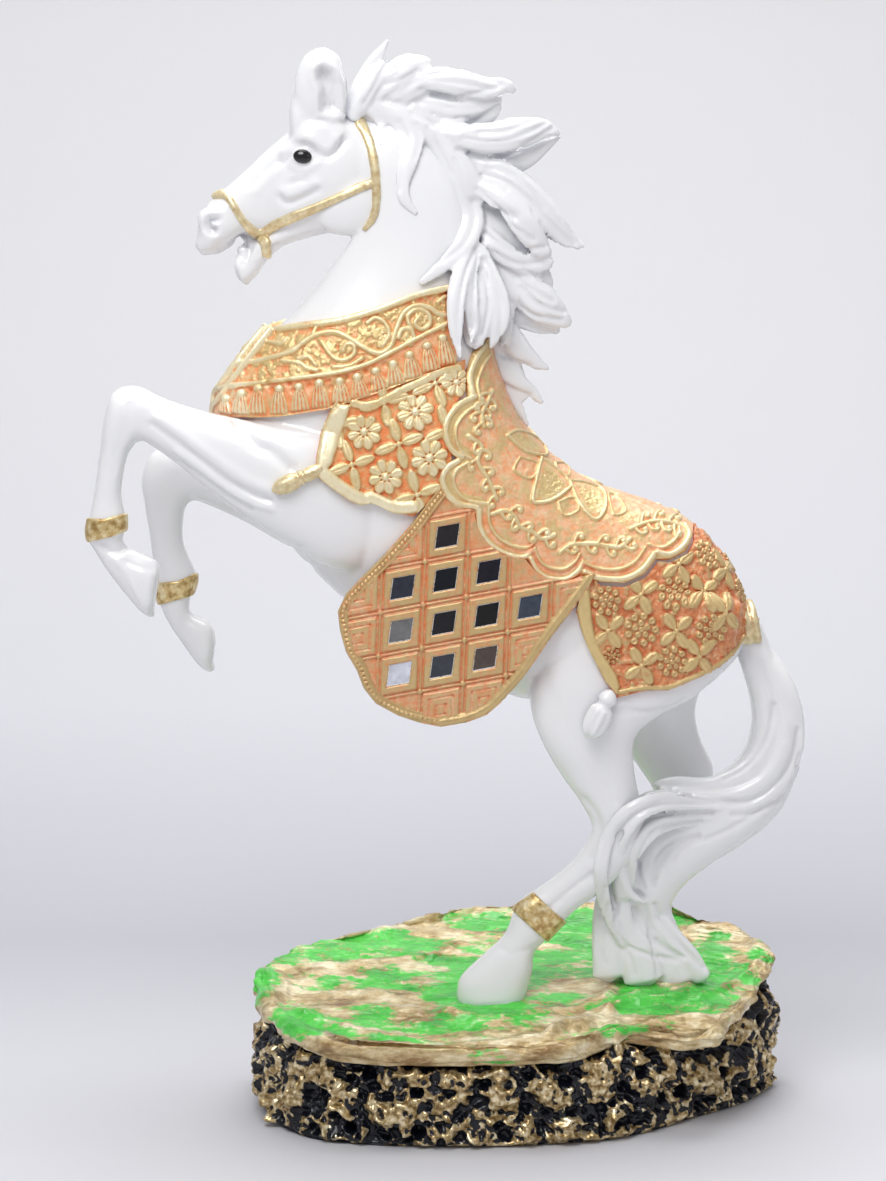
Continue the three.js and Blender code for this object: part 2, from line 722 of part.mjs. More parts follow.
function mirrorFlap(side) {
  const [near, far] = side < 0 ? [-80, 0] : [0, 80];
  const sheet = crownedSlab(side).intersect(prism(flapOutline, near, far));
  const pockets = mirrorPlaces.map((place) => mirrorTile(place, side, FIT));
  return cut(sheet, skin, saddleRoom, panelRoom, croupRoom, ...pockets);
}

// Bridle straps round the head
const headOver = casting(HEAD_PARTS, FIT + STRAP);
const straps = (grow) => join([
  prism(stripe(NOSE_LINE, STRAP_WIDTH + grow)),
  prism(stripe(CHEEK_LINE, STRAP_WIDTH + grow)),
  prism(stripe(THROAT_LINE, THROAT_WIDTH + grow)),
]);
const bridle = headOver.intersect(straps(0)).subtract(coreRoom);
const bridleRoom = casting(HEAD_PARTS, FIT + STRAP + FIT).intersect(straps(2 * FIT));

// Tassels at the corners of the breast panel and the croup cloth
const BREAST_TASSEL = [
  [-72, 203, -73.5, 198.5, -34.5, 2],
  [-77, 202, -78.5, 194.5, -35.5, 3.4],
  [-82, 199.5, -83.5, 191, -35.5, 3.6],
  [-88, 195.5, -89.5, 190, -35, 2.6],
];
const CROUP_TASSEL = [
  [30, 117, 36.5, 117.5, -32, 3],
  [26.5, 112, 34.5, 109.5, -32.5, 4.2],
  [22.5, 105.5, 31, 101.5, -32, 4.2],
  [20, 99.5, 25, 97, -31.5, 2.6],
];
const tassel = (rows) => railLoft(rows, { ends: [1.5, 1.5], points: 8, capSteps: 1 });

// The mane: wavy locks off the crest. Rows as for the body, in side view from root to tip.
const LOCKS = [
  [[-68, 330, -66, 322, 0, 5], [-65, 342, -62, 332, 0, 5], [-57, 348, -54, 340, 0, 4], [-49, 354, -48, 350, 0, 1.5]],
  [[-64, 335, -58, 318, 0, 8], [-53, 345, -48, 331, -1, 7], [-45, 349, -40, 335, -1, 6], [-35, 347, -34, 342, 0, 2]],
  [[-50, 333, -46, 316, -3, 8], [-34, 343, -30, 329, -4, 7], [-21, 344, -17, 330, -4, 6], [-5, 337, -4, 332, -3, 2]],
  [[-45, 329, -39, 312, 4, 8], [-30, 334, -27, 319, 5, 7], [-16, 333, -14, 322, 5, 6], [-7, 331, -7, 327, 5, 2]],
  [[-36, 322, -30, 304, 0, 9], [-21, 327, -19, 307, 0, 8], [-6, 329, -4, 306, 0, 7], [4, 327, 5, 310, 0, 5],
    [12, 322, 12, 318, 0, 1.6]],
  [[-30, 310, -24, 288, 0, 10], [-14, 309, -15, 279, 0, 9], [-2, 305, -2, 271, 0, 8], [10, 293, 11, 271, 0, 6],
    [22, 281, 23, 277, 0, 1.8]],
  [[-24, 288, -18, 262, 3, 9], [-8, 280, -6, 252, 3, 8], [4, 273, 4, 247, 3, 7], [13, 265, 13, 247, 3, 5],
    [17, 256, 17, 250, 3, 2]],
  [[-24, 278, -16, 252, -5, 8], [-12, 265, -10, 243, -4, 7], [-2, 249, 0, 232, -3, 5], [9, 238, 10, 233, -2, 2]],
  [[-28, 268, -12, 268, -13, 5], [-27, 257, -10, 256, -16, 5], [-25, 246, -13, 245, -19, 4], [-22, 238, -20, 238, -21, 2]],
  [[-18, 252, -10, 232, 3, 6], [-8, 240, -6, 226, 3, 6], [2, 230, 1, 221, 3, 4], [8, 224, 7, 220, 3, 1.6]],
  [[-54, 333, -38, 322, -11, 4], [-51, 321, -35, 314, -14, 3.6], [-47, 310, -37, 303, -16, 3.2], [-42, 293, -37, 295, -16, 2]],
  [[-36, 325, -24, 312, -11, 5], [-32, 314, -22, 302, -13, 4.4], [-22, 304, -16, 298, -13, 2]],
];
const FAR_LOCKS = [8, 10, 11];
const lock = (rows) => railLoft(rows, { ends: [3, 1.5], points: 6, capSteps: 1 });
const CREST = [
  [-60, 332, -58, 320, 0, 6],
  [-38, 332, -46, 312, 0, 7],
  [-20, 316, -34, 300, 0, 8],
  [-11, 294, -28, 284, 0, 9],
  [-9, 268, -26, 262, 0, 10],
  [-5, 250, -22, 247, 0, 10],
  [1, 236, -12, 230, 0, 8],
];
const crest = railLoft(CREST, { ends: [2, 2], points: 8, capSteps: 1 });
const clothRoom = dressedSkin(FIT + CLOTH + RELIEF + FIT).intersect(join([collarRoom, saddleRoom, panelRoom]));
const mane = cut(
  join([crest, ...LOCKS.map(lock), ...FAR_LOCKS.map((i) => lock(mirrored(LOCKS[i])))]),
  skin, clothRoom, bridleRoom,
);

// Tail, a third support that reaches the ground
const TAIL_OPTIONS = { ends: [4, 0], points: 12, fullness: 2.4 };
const tail = cut(railLoft(TAIL, TAIL_OPTIONS), coreRoom, croupRoomAtTail(), ...pinBores);

function croupRoomAtTail() {
  return overSkin.intersect(croupRoom);
}

const WAVE_HEIGHT = 6.25;
const PLINTH_LUMP = 2.6;
const SLAB_LUMP = 1;

// Uneven rock, from sums of waves that wander round the outline and up the wall
const wave = (angle, height, seed) => (
  0.5 * Math.sin(4 * angle + height / WAVE_HEIGHT + seed)
  + 0.3 * Math.sin(9 * angle - (1.5 * height) / WAVE_HEIGHT + 2.3 * seed)
  + 0.2 * Math.sin(15 * angle + (1.9 * height) / WAVE_HEIGHT + 4.1 * seed)
);
const ROCK_POINTS = 36;

// Plan outlines from the left round the back, as shares of the half length and the half depth
const PLINTH_PLAN = [
  [-0.99, 0.14], [-0.96, 0.44], [-0.83, 0.68], [-0.61, 0.85], [-0.3, 0.95], [0, 0.98], [0.32, 0.97], [0.63, 0.88],
  [0.87, 0.71], [0.98, 0.44], [0.98, 0.2], [0.87, -0.1], [0.67, -0.41], [0.48, -0.71], [0.28, -0.88], [-0.08, -0.98],
  [-0.45, -0.97], [-0.66, -0.9], [-0.81, -0.78], [-0.93, -0.51], [-0.98, -0.2],
];
const SLAB_PLAN = [
  [-1, -0.14], [-0.98, 0.07], [-0.91, 0.31], [-0.78, 0.45], [-0.63, 0.57], [-0.46, 0.71], [-0.32, 0.83], [-0.22, 0.93],
  [0.04, 0.98], [0.34, 1], [0.61, 0.98], [0.74, 0.78], [0.91, 0.57], [0.98, 0.29], [0.97, 0.14], [0.93, -0.09],
  [0.88, -0.33], [0.73, -0.67], [0.61, -0.8], [0.5, -0.75], [0.39, -0.76], [0.28, -0.85], [0.13, -0.95], [-0.12, -0.97],
  [-0.42, -0.97], [-0.66, -0.93], [-0.86, -0.72], [-0.96, -0.43],
];

// Rings of rock, each [height, share of the plan, depth of its lumps, slope]
function rock(plan, length, depth, layers, seed) {
  const edge = sampled([...plan, plan[0]], 0, plan.length, ROCK_POINTS).slice(0, -1);
  const rings = layers.map(([height, share, rough, slope]) => edge.map(([along, across]) => {
    const [x, y] = [along * share * (length / 2), across * share * (depth / 2)];
    const bump = 1 + (rough * wave(Math.atan2(y, x), height, seed)) / Math.hypot(x, y);
    return new THREE.Vector3(x * bump, y * bump, height + slope * (y * bump - NEAR_HOOF_Y));
  }));
  const middle = ([height, , , slope]) => new THREE.Vector3(0, 0, height - slope * NEAR_HOOF_Y);
  return skinRings(rings, middle(layers[0]), middle(layers.at(-1)));
}

const plinthRock = rock(PLINTH_PLAN, PLINTH_LENGTH, PLINTH_DEPTH, [
  [0, 0.955, 0, 0],
  [0.05 * PLINTH_HEIGHT, 0.985, 0.3 * PLINTH_LUMP, 0],
  [0.25 * PLINTH_HEIGHT, 0.99, 0.9 * PLINTH_LUMP, 0],
  [0.48 * PLINTH_HEIGHT, 0.985, PLINTH_LUMP, 0.3 * PLINTH_TOP_SLOPE],
  [0.72 * PLINTH_HEIGHT, 0.97, 0.9 * PLINTH_LUMP, 0.7 * PLINTH_TOP_SLOPE],
  [0.9 * PLINTH_HEIGHT, 0.95, 0.6 * PLINTH_LUMP, 0.9 * PLINTH_TOP_SLOPE],
  [PLINTH_HEIGHT, 0.91, 0.15 * PLINTH_LUMP, PLINTH_TOP_SLOPE],
], 1.1);
// The slab's slope at a share of its thickness, from its underside up
const slabSlope = (share) => PLINTH_TOP_SLOPE + (GROUND_SLOPE - PLINTH_TOP_SLOPE) * share;
const slabRock = rock(SLAB_PLAN, SLAB_LENGTH, SLAB_DEPTH, [
  [-SLAB_THICKNESS + FIT, 0.89, 0, PLINTH_TOP_SLOPE],
  [-0.8 * SLAB_THICKNESS, 0.965, 0.8 * SLAB_LUMP, slabSlope(0.2)],
  [-0.5 * SLAB_THICKNESS, 0.995, SLAB_LUMP, slabSlope(0.5)],
  [-0.2 * SLAB_THICKNESS, 0.985, SLAB_LUMP, slabSlope(0.8)],
  [0, 0.94, 0.8 * SLAB_LUMP, GROUND_SLOPE],
  [-0.12 * SLAB_THICKNESS, 0.87, 0.8 * SLAB_LUMP, GROUND_SLOPE],
  [0.07 * SLAB_THICKNESS, 0.8, 0.8 * SLAB_LUMP, GROUND_SLOPE],
  [0, 0.6, 0.5 * SLAB_LUMP, GROUND_SLOPE],
  [0, 0.3, 0, GROUND_SLOPE],
], 2.4);
const hoofRoom = [
  railLoft(NEAR_HIND.slice(-4), { ends: [0, 0], grow: FIT, points: LIMB_POINTS }),
  railLoft(FAR_HIND.slice(-4), { ends: [0, 0], grow: FIT, points: LIMB_POINTS }),
  railLoft(TAIL.slice(-3), { ...TAIL_OPTIONS, ends: [0, 0], grow: FIT }),
];
const drop = (tool, distance) => tool.translate([0, 0, -distance]);
const slab = cut(slabRock, ...hoofRoom.map((tool) => drop(tool, FIT)), ...rodBores);
const plinth = cut(plinthRock, ...rodBores.map((bore) => bore.translate([0, 0, GROUND_HEIGHT])));

// Materials
const finish = (color, roughness, metalness) => new THREE.MeshStandardMaterial({ color, roughness, metalness });
const WHITE = finish(0xf1f2f6, 0.2, 0);
const GOLD = finish(0xc9ab5e, 0.35, 0.6);
const ORANGE = finish(0xd98a4a, 0.4, 0.3);
const LAVA = finish(0x2b2419, 0.3, 0.2);
const GREEN = finish(0x63c63f, 0.4, 0);
const GLASS = finish(0x30343a, 0.05, 0.9);
const BLACK = finish(0x0c0c0e, 0.1, 0);
const STEEL = finish(0x8d9196, 0.4, 0.9);

const statue = new THREE.Group();
const horse = new THREE.Group();
horse.position.z = GROUND_HEIGHT;
statue.add(horse);

function place(parent, name, manifold, material) {
  const mesh = new THREE.Mesh(toGeometry(whole(manifold)), material);
  mesh.name = name;
  parent.add(mesh);
}

place(statue, 'rock_plinth', plinth, LAVA);
place(horse, 'ground_slab', slab, GREEN);
place(horse, 'horse_body', horseBody, WHITE);
place(horse, 'left_foreleg', foreleg(NEAR_FORE), WHITE);
place(horse, 'right_foreleg', foreleg(FAR_FORE), WHITE);
place(horse, 'tail', tail, WHITE);
place(horse, 'mane', mane, WHITE);
place(horse, 'left_eye', eye(-1), BLACK);
place(horse, 'right_eye', eye(1), BLACK);
place(horse, 'bridle', bridle, GOLD);
place(horse, 'neck_collar', collar, ORANGE);
place(horse, 'left_chest_panel', nearPanel, ORANGE);
place(horse, 'right_chest_panel', farPanel, ORANGE);
place(horse, 'saddle_cloth', saddleCloth, ORANGE);
place(horse, 'croup_cloth', croupCloth, ORANGE);
for (const [name, side] of [['left', -1], ['right', 1]]) {
  place(horse, `${name}_mirror_flap`, mirrorFlap(side), GOLD);
  mirrorPlaces.forEach((spot, i) => {
    place(horse, `${name}_mirror_${i + 1}`, mirrorTile(spot, side), GLASS);
  });
  const turn = (rows) => (side < 0 ? rows : mirrored(rows));
  place(horse, `${name}_breast_tassel`, cut(tassel(turn(BREAST_TASSEL)), overSkin), GOLD);
  place(horse, `${name}_croup_tassel`, cut(tassel(turn(CROUP_TASSEL)), overSkin), WHITE);
}
place(horse, 'left_fore_band', sleeve(NEAR_FORE, NEAR_FORE_BAND, BAND, FORE_OPTIONS), GOLD);
place(horse, 'right_fore_band', sleeve(FAR_FORE, FAR_FORE_BAND, BAND, FORE_OPTIONS), GOLD);
place(horse, 'left_hind_band', sleeve(NEAR_HIND, NEAR_HIND_BAND, BAND, LOFTS.nearHind[1]), GOLD);
place(horse, 'right_hind_band', sleeve(FAR_HIND, FAR_HIND_BAND, BAND, LOFTS.farHind[1]), GOLD);
place(horse, 'tail_ring', cut(sleeve(TAIL, TAIL_RING, BAND, TAIL_OPTIONS), coreRoom), GOLD);
place(horse, 'left_hind_rod', rods[0].bar, STEEL);
place(horse, 'right_hind_rod', rods[1].bar, STEEL);
pins.forEach(({ name, bar }) => place(horse, name, bar, STEEL));

export default statue;
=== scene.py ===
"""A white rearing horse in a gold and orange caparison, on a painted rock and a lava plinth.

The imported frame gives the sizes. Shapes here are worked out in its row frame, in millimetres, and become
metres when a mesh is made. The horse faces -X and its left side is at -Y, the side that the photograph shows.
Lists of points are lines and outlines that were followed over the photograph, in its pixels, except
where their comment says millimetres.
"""

import json
import math
from itertools import product

import bpy
import numpy as np
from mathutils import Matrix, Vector
from mathutils.bvhtree import BVHTree

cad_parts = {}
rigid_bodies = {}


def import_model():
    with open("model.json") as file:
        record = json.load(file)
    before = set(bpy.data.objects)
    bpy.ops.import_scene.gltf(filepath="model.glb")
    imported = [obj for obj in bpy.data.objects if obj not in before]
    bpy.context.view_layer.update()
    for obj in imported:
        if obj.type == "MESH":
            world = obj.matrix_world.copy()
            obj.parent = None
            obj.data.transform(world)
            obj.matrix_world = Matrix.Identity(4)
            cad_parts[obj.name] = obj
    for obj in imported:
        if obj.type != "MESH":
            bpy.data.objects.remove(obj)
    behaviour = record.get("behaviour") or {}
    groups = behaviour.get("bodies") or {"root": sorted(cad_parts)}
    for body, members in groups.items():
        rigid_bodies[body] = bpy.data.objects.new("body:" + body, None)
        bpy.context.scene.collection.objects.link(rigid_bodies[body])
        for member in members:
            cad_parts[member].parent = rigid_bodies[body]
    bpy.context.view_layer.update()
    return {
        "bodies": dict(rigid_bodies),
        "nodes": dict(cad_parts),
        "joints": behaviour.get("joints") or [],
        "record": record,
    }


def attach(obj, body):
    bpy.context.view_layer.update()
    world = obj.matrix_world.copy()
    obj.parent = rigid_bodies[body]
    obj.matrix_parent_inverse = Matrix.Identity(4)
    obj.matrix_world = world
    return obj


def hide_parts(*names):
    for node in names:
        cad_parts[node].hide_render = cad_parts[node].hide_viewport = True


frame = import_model()

MM = 0.001
BODY = "root"
# How high the ground under the hooves is, where the horse's own heights start
GROUND = 46.0

# The photograph: its frame in pixels, and its camera in millimetres and degrees
PHOTO_WIDTH = 886
PHOTO_HEIGHT = 1181
FOCAL_PIXELS = 3270
PIXELS_PER_MM = 2.69
CAMERA = np.array([-29.05, -1200.0, 400.0])
TILT = math.radians(9.59)
FORWARD = np.array([0.0, math.cos(TILT), -math.sin(TILT)])
UPWARD = np.array([0.0, math.sin(TILT), math.cos(TILT)])


def unit(line):
    """The same directions, each of length one."""
    return line / np.linalg.norm(line, axis=-1, keepdims=True)


def bell(away, wide):
    """One in the middle, falling off smoothly over that width."""
    return np.exp(-((away / wide) ** 2))


def ramped(values, low, high):
    """Nought up to the low value, one from the high value on."""
    return np.clip((values - low) / (high - low), 0, 1)


def rounded(share):
    """A quarter round: nought at nought, level at one."""
    return np.sqrt(1 - (1 - np.clip(share, 0, 1)) ** 2)


def dome(away, radius):
    """The height of a half ball of that radius, as a share of one."""
    return np.sqrt(np.maximum(0, 1 - (away / radius) ** 2))


def circle(points):
    """Angles evenly round a circle."""
    return np.linspace(0, 2 * np.pi, points, endpoint=False)


def seen(points):
    """Where points in millimetres fall in the photograph, in pixels."""
    away = points - CAMERA
    depth = away @ FORWARD
    across = PHOTO_WIDTH / 2 + FOCAL_PIXELS * away[:, 0] / depth
    down = PHOTO_HEIGHT / 2 - FOCAL_PIXELS * (away @ UPWARD) / depth
    return np.stack([across, down], 1)


def sight(px, py):
    """The direction of the line of sight through a pixel."""
    line = FORWARD * FOCAL_PIXELS + UPWARD * (PHOTO_HEIGHT / 2 - py)
    line[0] += px - PHOTO_WIDTH / 2
    return unit(line)


def spot(px, py, y=0.0):
    """The point behind a pixel on an upright plane across the depth, in millimetres."""
    line = sight(px, py)
    return CAMERA + line * ((y - CAMERA[1]) / line[1])


def hit_of(tree, px, py):
    """The point and the normal of a surface that a pixel shows, or none."""
    return tree.ray_cast(Vector(CAMERA), Vector(sight(px, py)))[:2]


def surface_at(tree, px, py):
    """The point and the normal that a pixel shows, or the nearest ones beside the surface."""
    hit, normal = hit_of(tree, px, py)
    return (hit, normal) if hit is not None else tree.find_nearest(Vector(spot(px, py)))[:2]


def between(rows, place):
    """A smooth curve through rows of numbers."""
    rows = np.asarray(rows, float)
    last = len(rows) - 1
    index = min(int(place), last - 1)
    t = place - index
    a, b, c, d = (rows[max(0, min(last, index + k))] for k in (-1, 0, 1, 2))
    slope_in, slope_out, rise = (c - a) / 2, (d - b) / 2, c - b
    cubic = slope_in + slope_out - 2 * rise
    return b + t * (slope_in + t * (3 * rise - 2 * slope_in - slope_out + t * cubic))


def sampled(rows, steps):
    """Rows of numbers read smoothly at even places from the first to the last."""
    last = len(rows) - 1
    return np.array([between(rows, last * i / steps) for i in range(steps + 1)])


def rings_skin(rings, first_pole, last_pole):
    """Corners and triangles of a closed skin over rings of equal length."""
    rings = np.asarray(rings)
    count, points = rings.shape[:2]
    corners = np.concatenate([rings.reshape(-1, 3), [first_pole], [last_pole]])
    k = np.arange(points)
    following = (k + 1) % points
    here = np.arange(count - 1)[:, None] * points + k
    turn = np.arange(count - 1)[:, None] * points + following
    end = (count - 1) * points
    faces = [
        np.stack([here, turn, turn + points], -1),
        np.stack([here, turn + points, here + points], -1),
        np.stack([np.full(points, count * points), following, k], -1),
        np.stack([np.full(points, count * points + 1), end + k, end + following], -1),
    ]
    faces = np.concatenate([part.reshape(-1, 3) for part in faces])
    volume = np.einsum("ij,ij->", corners[faces[:, 0]], np.cross(corners[faces[:, 1]], corners[faces[:, 2]]))
    return corners, faces if volume > 0 else faces[:, ::-1]


def rail_loft(rows, ends=(4, 4), points=40, per=6, fullness=2.2, cap=5):
    """A loft through rings hung between two side-view rails.

    A row is [upper x, upper z, lower x, lower z, middle y, half width], its heights from the ground.
    """
    rows = sampled(rows, (len(rows) - 1) * per)
    centre = np.stack([(rows[:, 0] + rows[:, 2]) / 2, rows[:, 4], (rows[:, 1] + rows[:, 3]) / 2 + GROUND], 1)
    up = np.stack([(rows[:, 0] - rows[:, 2]) / 2, 0 * rows[:, 4], (rows[:, 1] - rows[:, 3]) / 2], 1)
    angle = circle(points)
    c, s = (np.sign(turn) * np.abs(turn) ** (2 / fullness) for turn in (np.cos(angle), np.sin(angle)))

    def ring(i, scale=1.0, shift=0.0):
        side = np.array([0, rows[i, 5], 0])
        return centre[i] + scale * (c[:, None] * up[i] + s[:, None] * side) + shift

    def end(i, inner, reach):
        axis = unit(np.array([-up[i][2], 0, up[i][0]]))
        if axis @ (centre[i] - centre[inner]) < 0:
            axis = -axis
        turns = [j / (cap + 1) * math.pi / 2 for j in range(1, cap + 1)] if reach else []
        return [ring(i, math.cos(a), axis * reach * math.sin(a)) for a in turns], centre[i] + axis * reach

    first, first_pole = end(0, 1, ends[0])
    last, last_pole = end(len(rows) - 1, len(rows) - 2, ends[1])
    return rings_skin(first[::-1] + [ring(i) for i in range(len(rows))] + last, first_pole, last_pole)


def lock(path, thick=0.75, strands=3, groove=0.22, twist=0.6, points=36, steps=30):
    """A lock of hair along rows of [pixel x, pixel y, depth y, half width in pixels], grooved along it."""
    rows = sampled(path, steps)
    centre = np.array([spot(px, py, y) for px, py, y, _ in rows])
    half = rows[:, 3] / PIXELS_PER_MM
    along = unit(np.gradient(centre, axis=0))
    wide = unit(np.cross(along, [0, 1, 0]))
    deep = np.cross(wide, along)
    angle = circle(points)
    rings = []
    for i in range(steps + 1):
        phase = twist * i / steps * math.pi
        body = 1 - groove + groove * np.abs(np.cos(strands * angle + phase)) ** 0.7
        x = (np.cos(angle) * body * half[i])[:, None]
        y = (np.sin(angle) * body * half[i] * thick)[:, None]
        rings.append(centre[i] + x * wide[i] + y * deep[i])
    return rings_skin(rings, centre[0] - along[0] * half[0] * 0.5, centre[-1] + along[-1] * half[-1] * 0.6)


def blob(px, py, y, half_wide, half_high, half_deep, turn=0.0):
    """A rounded swelling: middle in pixels and depth, half sizes in millimetres, turn in degrees."""
    u = np.linspace(0, np.pi, 13)[1:-1][:, None]
    v = circle(24)
    rings = np.stack([np.cos(u) + 0 * v, np.sin(u) * np.cos(v), np.sin(u) * np.sin(v)], -1)
    c, s = math.cos(math.radians(turn)), math.sin(math.radians(turn))

    def put(p):
        x, y_out, z = np.moveaxis(p * [half_wide, half_deep, half_high], -1, 0)
        return np.stack([x * c - z * s, y_out, x * s + z * c], -1) + spot(px, py, y)

    return rings_skin(put(rings), put(np.array([1.0, 0, 0])), put(np.array([-1.0, 0, 0])))


def turned(start, end, profile, ribs, rib_depth, points=48):
    """A turned piece between two points, from rows of [place along, radius, share of the ribs' depth]."""
    axis = unit(end - start)
    side = unit(np.cross(axis, [0, 1, 0]))
    other = np.cross(axis, side)
    angle = circle(points)
    rings = []
    for place, radius, share in sampled(profile, (len(profile) - 1) * 5):
        size = max(radius, 0.02) * (1 - rib_depth * share * np.abs(np.sin(ribs * angle / 2)))
        round_it = np.outer(size * np.cos(angle), side) + np.outer(size * np.sin(angle), other)
        rings.append(start + (end - start) * place + round_it)
    return rings_skin(rings, start + (end - start) * profile[0][0], start + (end - start) * profile[-1][0])


def wound(centre, along, wide, high, thick, turns, pitch, points=16):
    """A cord wound round an oval, its turns side by side."""
    along = unit(np.asarray(along, float))
    side = np.array([0, 1.0, 0])
    angle = np.linspace(0, 2 * np.pi * turns, int(72 * turns))
    oval = np.outer(wide * np.cos(angle), side) + np.outer(high * np.sin(angle), np.cross(along, side))
    path = centre + oval + np.outer((angle / (2 * np.pi) - turns / 2) * pitch, along)
    forward = unit(np.gradient(path, axis=0))
    out = unit(np.cross(forward, along))
    c, s = np.cos(circle(points)), np.sin(circle(points))
    rings = [p + thick * (np.outer(c, o) + np.outer(s, np.cross(f, o)))
             for p, f, o in zip(path, forward, out)]
    return rings_skin(rings, path[0], path[-1])


def flipped(part):
    """The same part on the horse's other side."""
    corners, faces = part
    return corners * [1, -1, 1], faces[:, ::-1]


def mesh_object(name, corners, faces, material=None, **layers):
    """A smooth-shaded object from corners in millimetres and equal-sided faces, with layers of numbers."""
    mesh = bpy.data.meshes.new(name)
    faces = np.asarray(faces, np.int32)
    mesh.vertices.add(len(corners))
    mesh.vertices.foreach_set("co", (np.asarray(corners) * MM).astype(np.float32).ravel())
    mesh.loops.add(faces.size)
    mesh.loops.foreach_set("vertex_index", faces.ravel())
    mesh.polygons.add(len(faces))
    mesh.polygons.foreach_set("loop_start", np.arange(0, faces.size, faces.shape[1], dtype=np.int32))
    mesh.update(calc_edges=True)
    mesh.validate()
    mesh.shade_smooth()
    for label, values in layers.items():
        layer = mesh.attributes.new(label, "FLOAT", "POINT")
        layer.data.foreach_set("value", values.astype(np.float32))
    if material:
        mesh.materials.append(material)
    return linked(name, mesh)


def linked(name, data):
    """A new object in the scene."""
    item = bpy.data.objects.new(name, data)
    bpy.context.scene.collection.objects.link(item)
    return item


def placed(item, slot, *nodes):
    """Ties a piece to the part and hides the nodes that it shows; the slot is not used."""
    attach(item, BODY)
    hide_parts(*nodes)


def placed_pair(name, ending, part, material, slot):
    """A piece on each side of the horse."""
    for side, piece in (("left_", part), ("right_", flipped(part))):
        placed(mesh_object(side + name + ending, *piece, material), slot, side + name)


def modified(corners, faces, kind, **settings):
    """Corners in millimetres and four-sided faces after one modifier."""
    item = mesh_object("in_work", corners, faces)
    modifier = item.modifiers.new("modifier", kind)
    for label, value in settings.items():
        setattr(modifier, label, value)
    mesh = bpy.data.meshes.new_from_object(item.evaluated_get(bpy.context.evaluated_depsgraph_get()))
    corners = np.zeros(len(mesh.vertices) * 3, np.float32)
    mesh.vertices.foreach_get("co", corners)
    loops = np.zeros(len(mesh.loops), np.int32)
    mesh.loops.foreach_get("vertex_index", loops)
    bpy.data.objects.remove(item)
    return corners.reshape(-1, 3).astype(float) / MM, loops.reshape(-1, 4)


def gathered(index, values, count):
    """Rows of values added up under the corner that each belongs to."""
    return np.stack([np.bincount(index, values[:, k], count) for k in range(values.shape[1])], 1)


def relaxed(corners, faces, rounds, weight=0.5, back=0.0):
    """Corners moved towards the mean of their neighbours, and partly back to keep their volume."""
    pairs = np.concatenate([faces[:, [k, (k + 1) % faces.shape[1]]] for k in range(faces.shape[1])])
    pairs.sort(axis=1)
    a, b = np.unique(pairs, axis=0).T
    count = len(corners)
    degree = np.maximum(np.bincount(a, minlength=count) + np.bincount(b, minlength=count), 1)[:, None]
    for _ in range(rounds):
        for step in (weight, -back) if back else (weight,):
            mean = (gathered(a, corners[b], count) + gathered(b, corners[a], count)) / degree
            corners = corners + step * (mean - corners)
    return corners


def melted(parts, voxel, rounds, weight=0.5, back=0.0):
    """One closed and softened skin round overlapping parts."""
    starts = np.cumsum([0] + [len(corners) for corners, _ in parts])
    corners = np.concatenate([corners for corners, _ in parts])
    faces = np.concatenate([part_faces + start for (_, part_faces), start in zip(parts, starts)])
    corners, faces = modified(corners, faces, "REMESH", mode="VOXEL", voxel_size=voxel * MM)
    return relaxed(corners, faces, rounds, weight, back), faces


def normals_of(corners, faces):
    """Unit normals at the corners, from the faces round each."""
    across = np.cross(corners[faces[:, 2]] - corners[faces[:, 0]],
                      corners[faces[:, -1]] - corners[faces[:, 1]])
    total = sum(gathered(faces[:, k], across, len(corners)) for k in range(faces.shape[1]))
    return total / np.maximum(np.linalg.norm(total, axis=1, keepdims=True), 1e-9)


def tree_of(corners, faces):
    """A surface that lines of sight can be cast at."""
    return BVHTree.FromPolygons([tuple(c) for c in corners], [tuple(f) for f in faces.tolist()])


def folded(points):
    """Points brought to the near side of the horse."""
    return np.stack([points[:, 0], -np.abs(points[:, 1]), points[:, 2]], 1)


def folded_normals(corners, normals):
    """Normals as they are where their corners are brought to the near side."""
    return normals * np.where(corners[:, 1:2] > 0, [1, -1, 1], [1, 1, 1])


def traced(pixels, tree, steps=6):
    """A line drawn over the photograph, laid on the surface that it shows."""
    line = sampled(pixels, (len(pixels) - 1) * steps if len(pixels) > 2 else steps)
    return np.array([surface_at(tree, px, py)[0] for px, py in line])


def line_distance(points, normals, line, reach):
    """Distance over the surface from points to a line on it, infinite beyond the reach."""
    far = np.full(len(points), np.inf)
    near = np.all((points > line.min(0) - reach) & (points < line.max(0) + reach), axis=1)
    index = np.nonzero(near)[0]
    p, n = points[index], normals[index]
    best = np.full(len(index), np.inf)
    for a, b in zip(line[:-1], line[1:]):
        ab = b - a
        t = np.clip(((p - a) @ ab) / max(ab @ ab, 1e-9), 0, 1)
        away = p - a - t[:, None] * ab
        level = away - n * np.einsum("ij,ij->i", away, n)[:, None] * 0.8
        best = np.minimum(best, np.linalg.norm(level, axis=1))
    far[index] = best
    return far


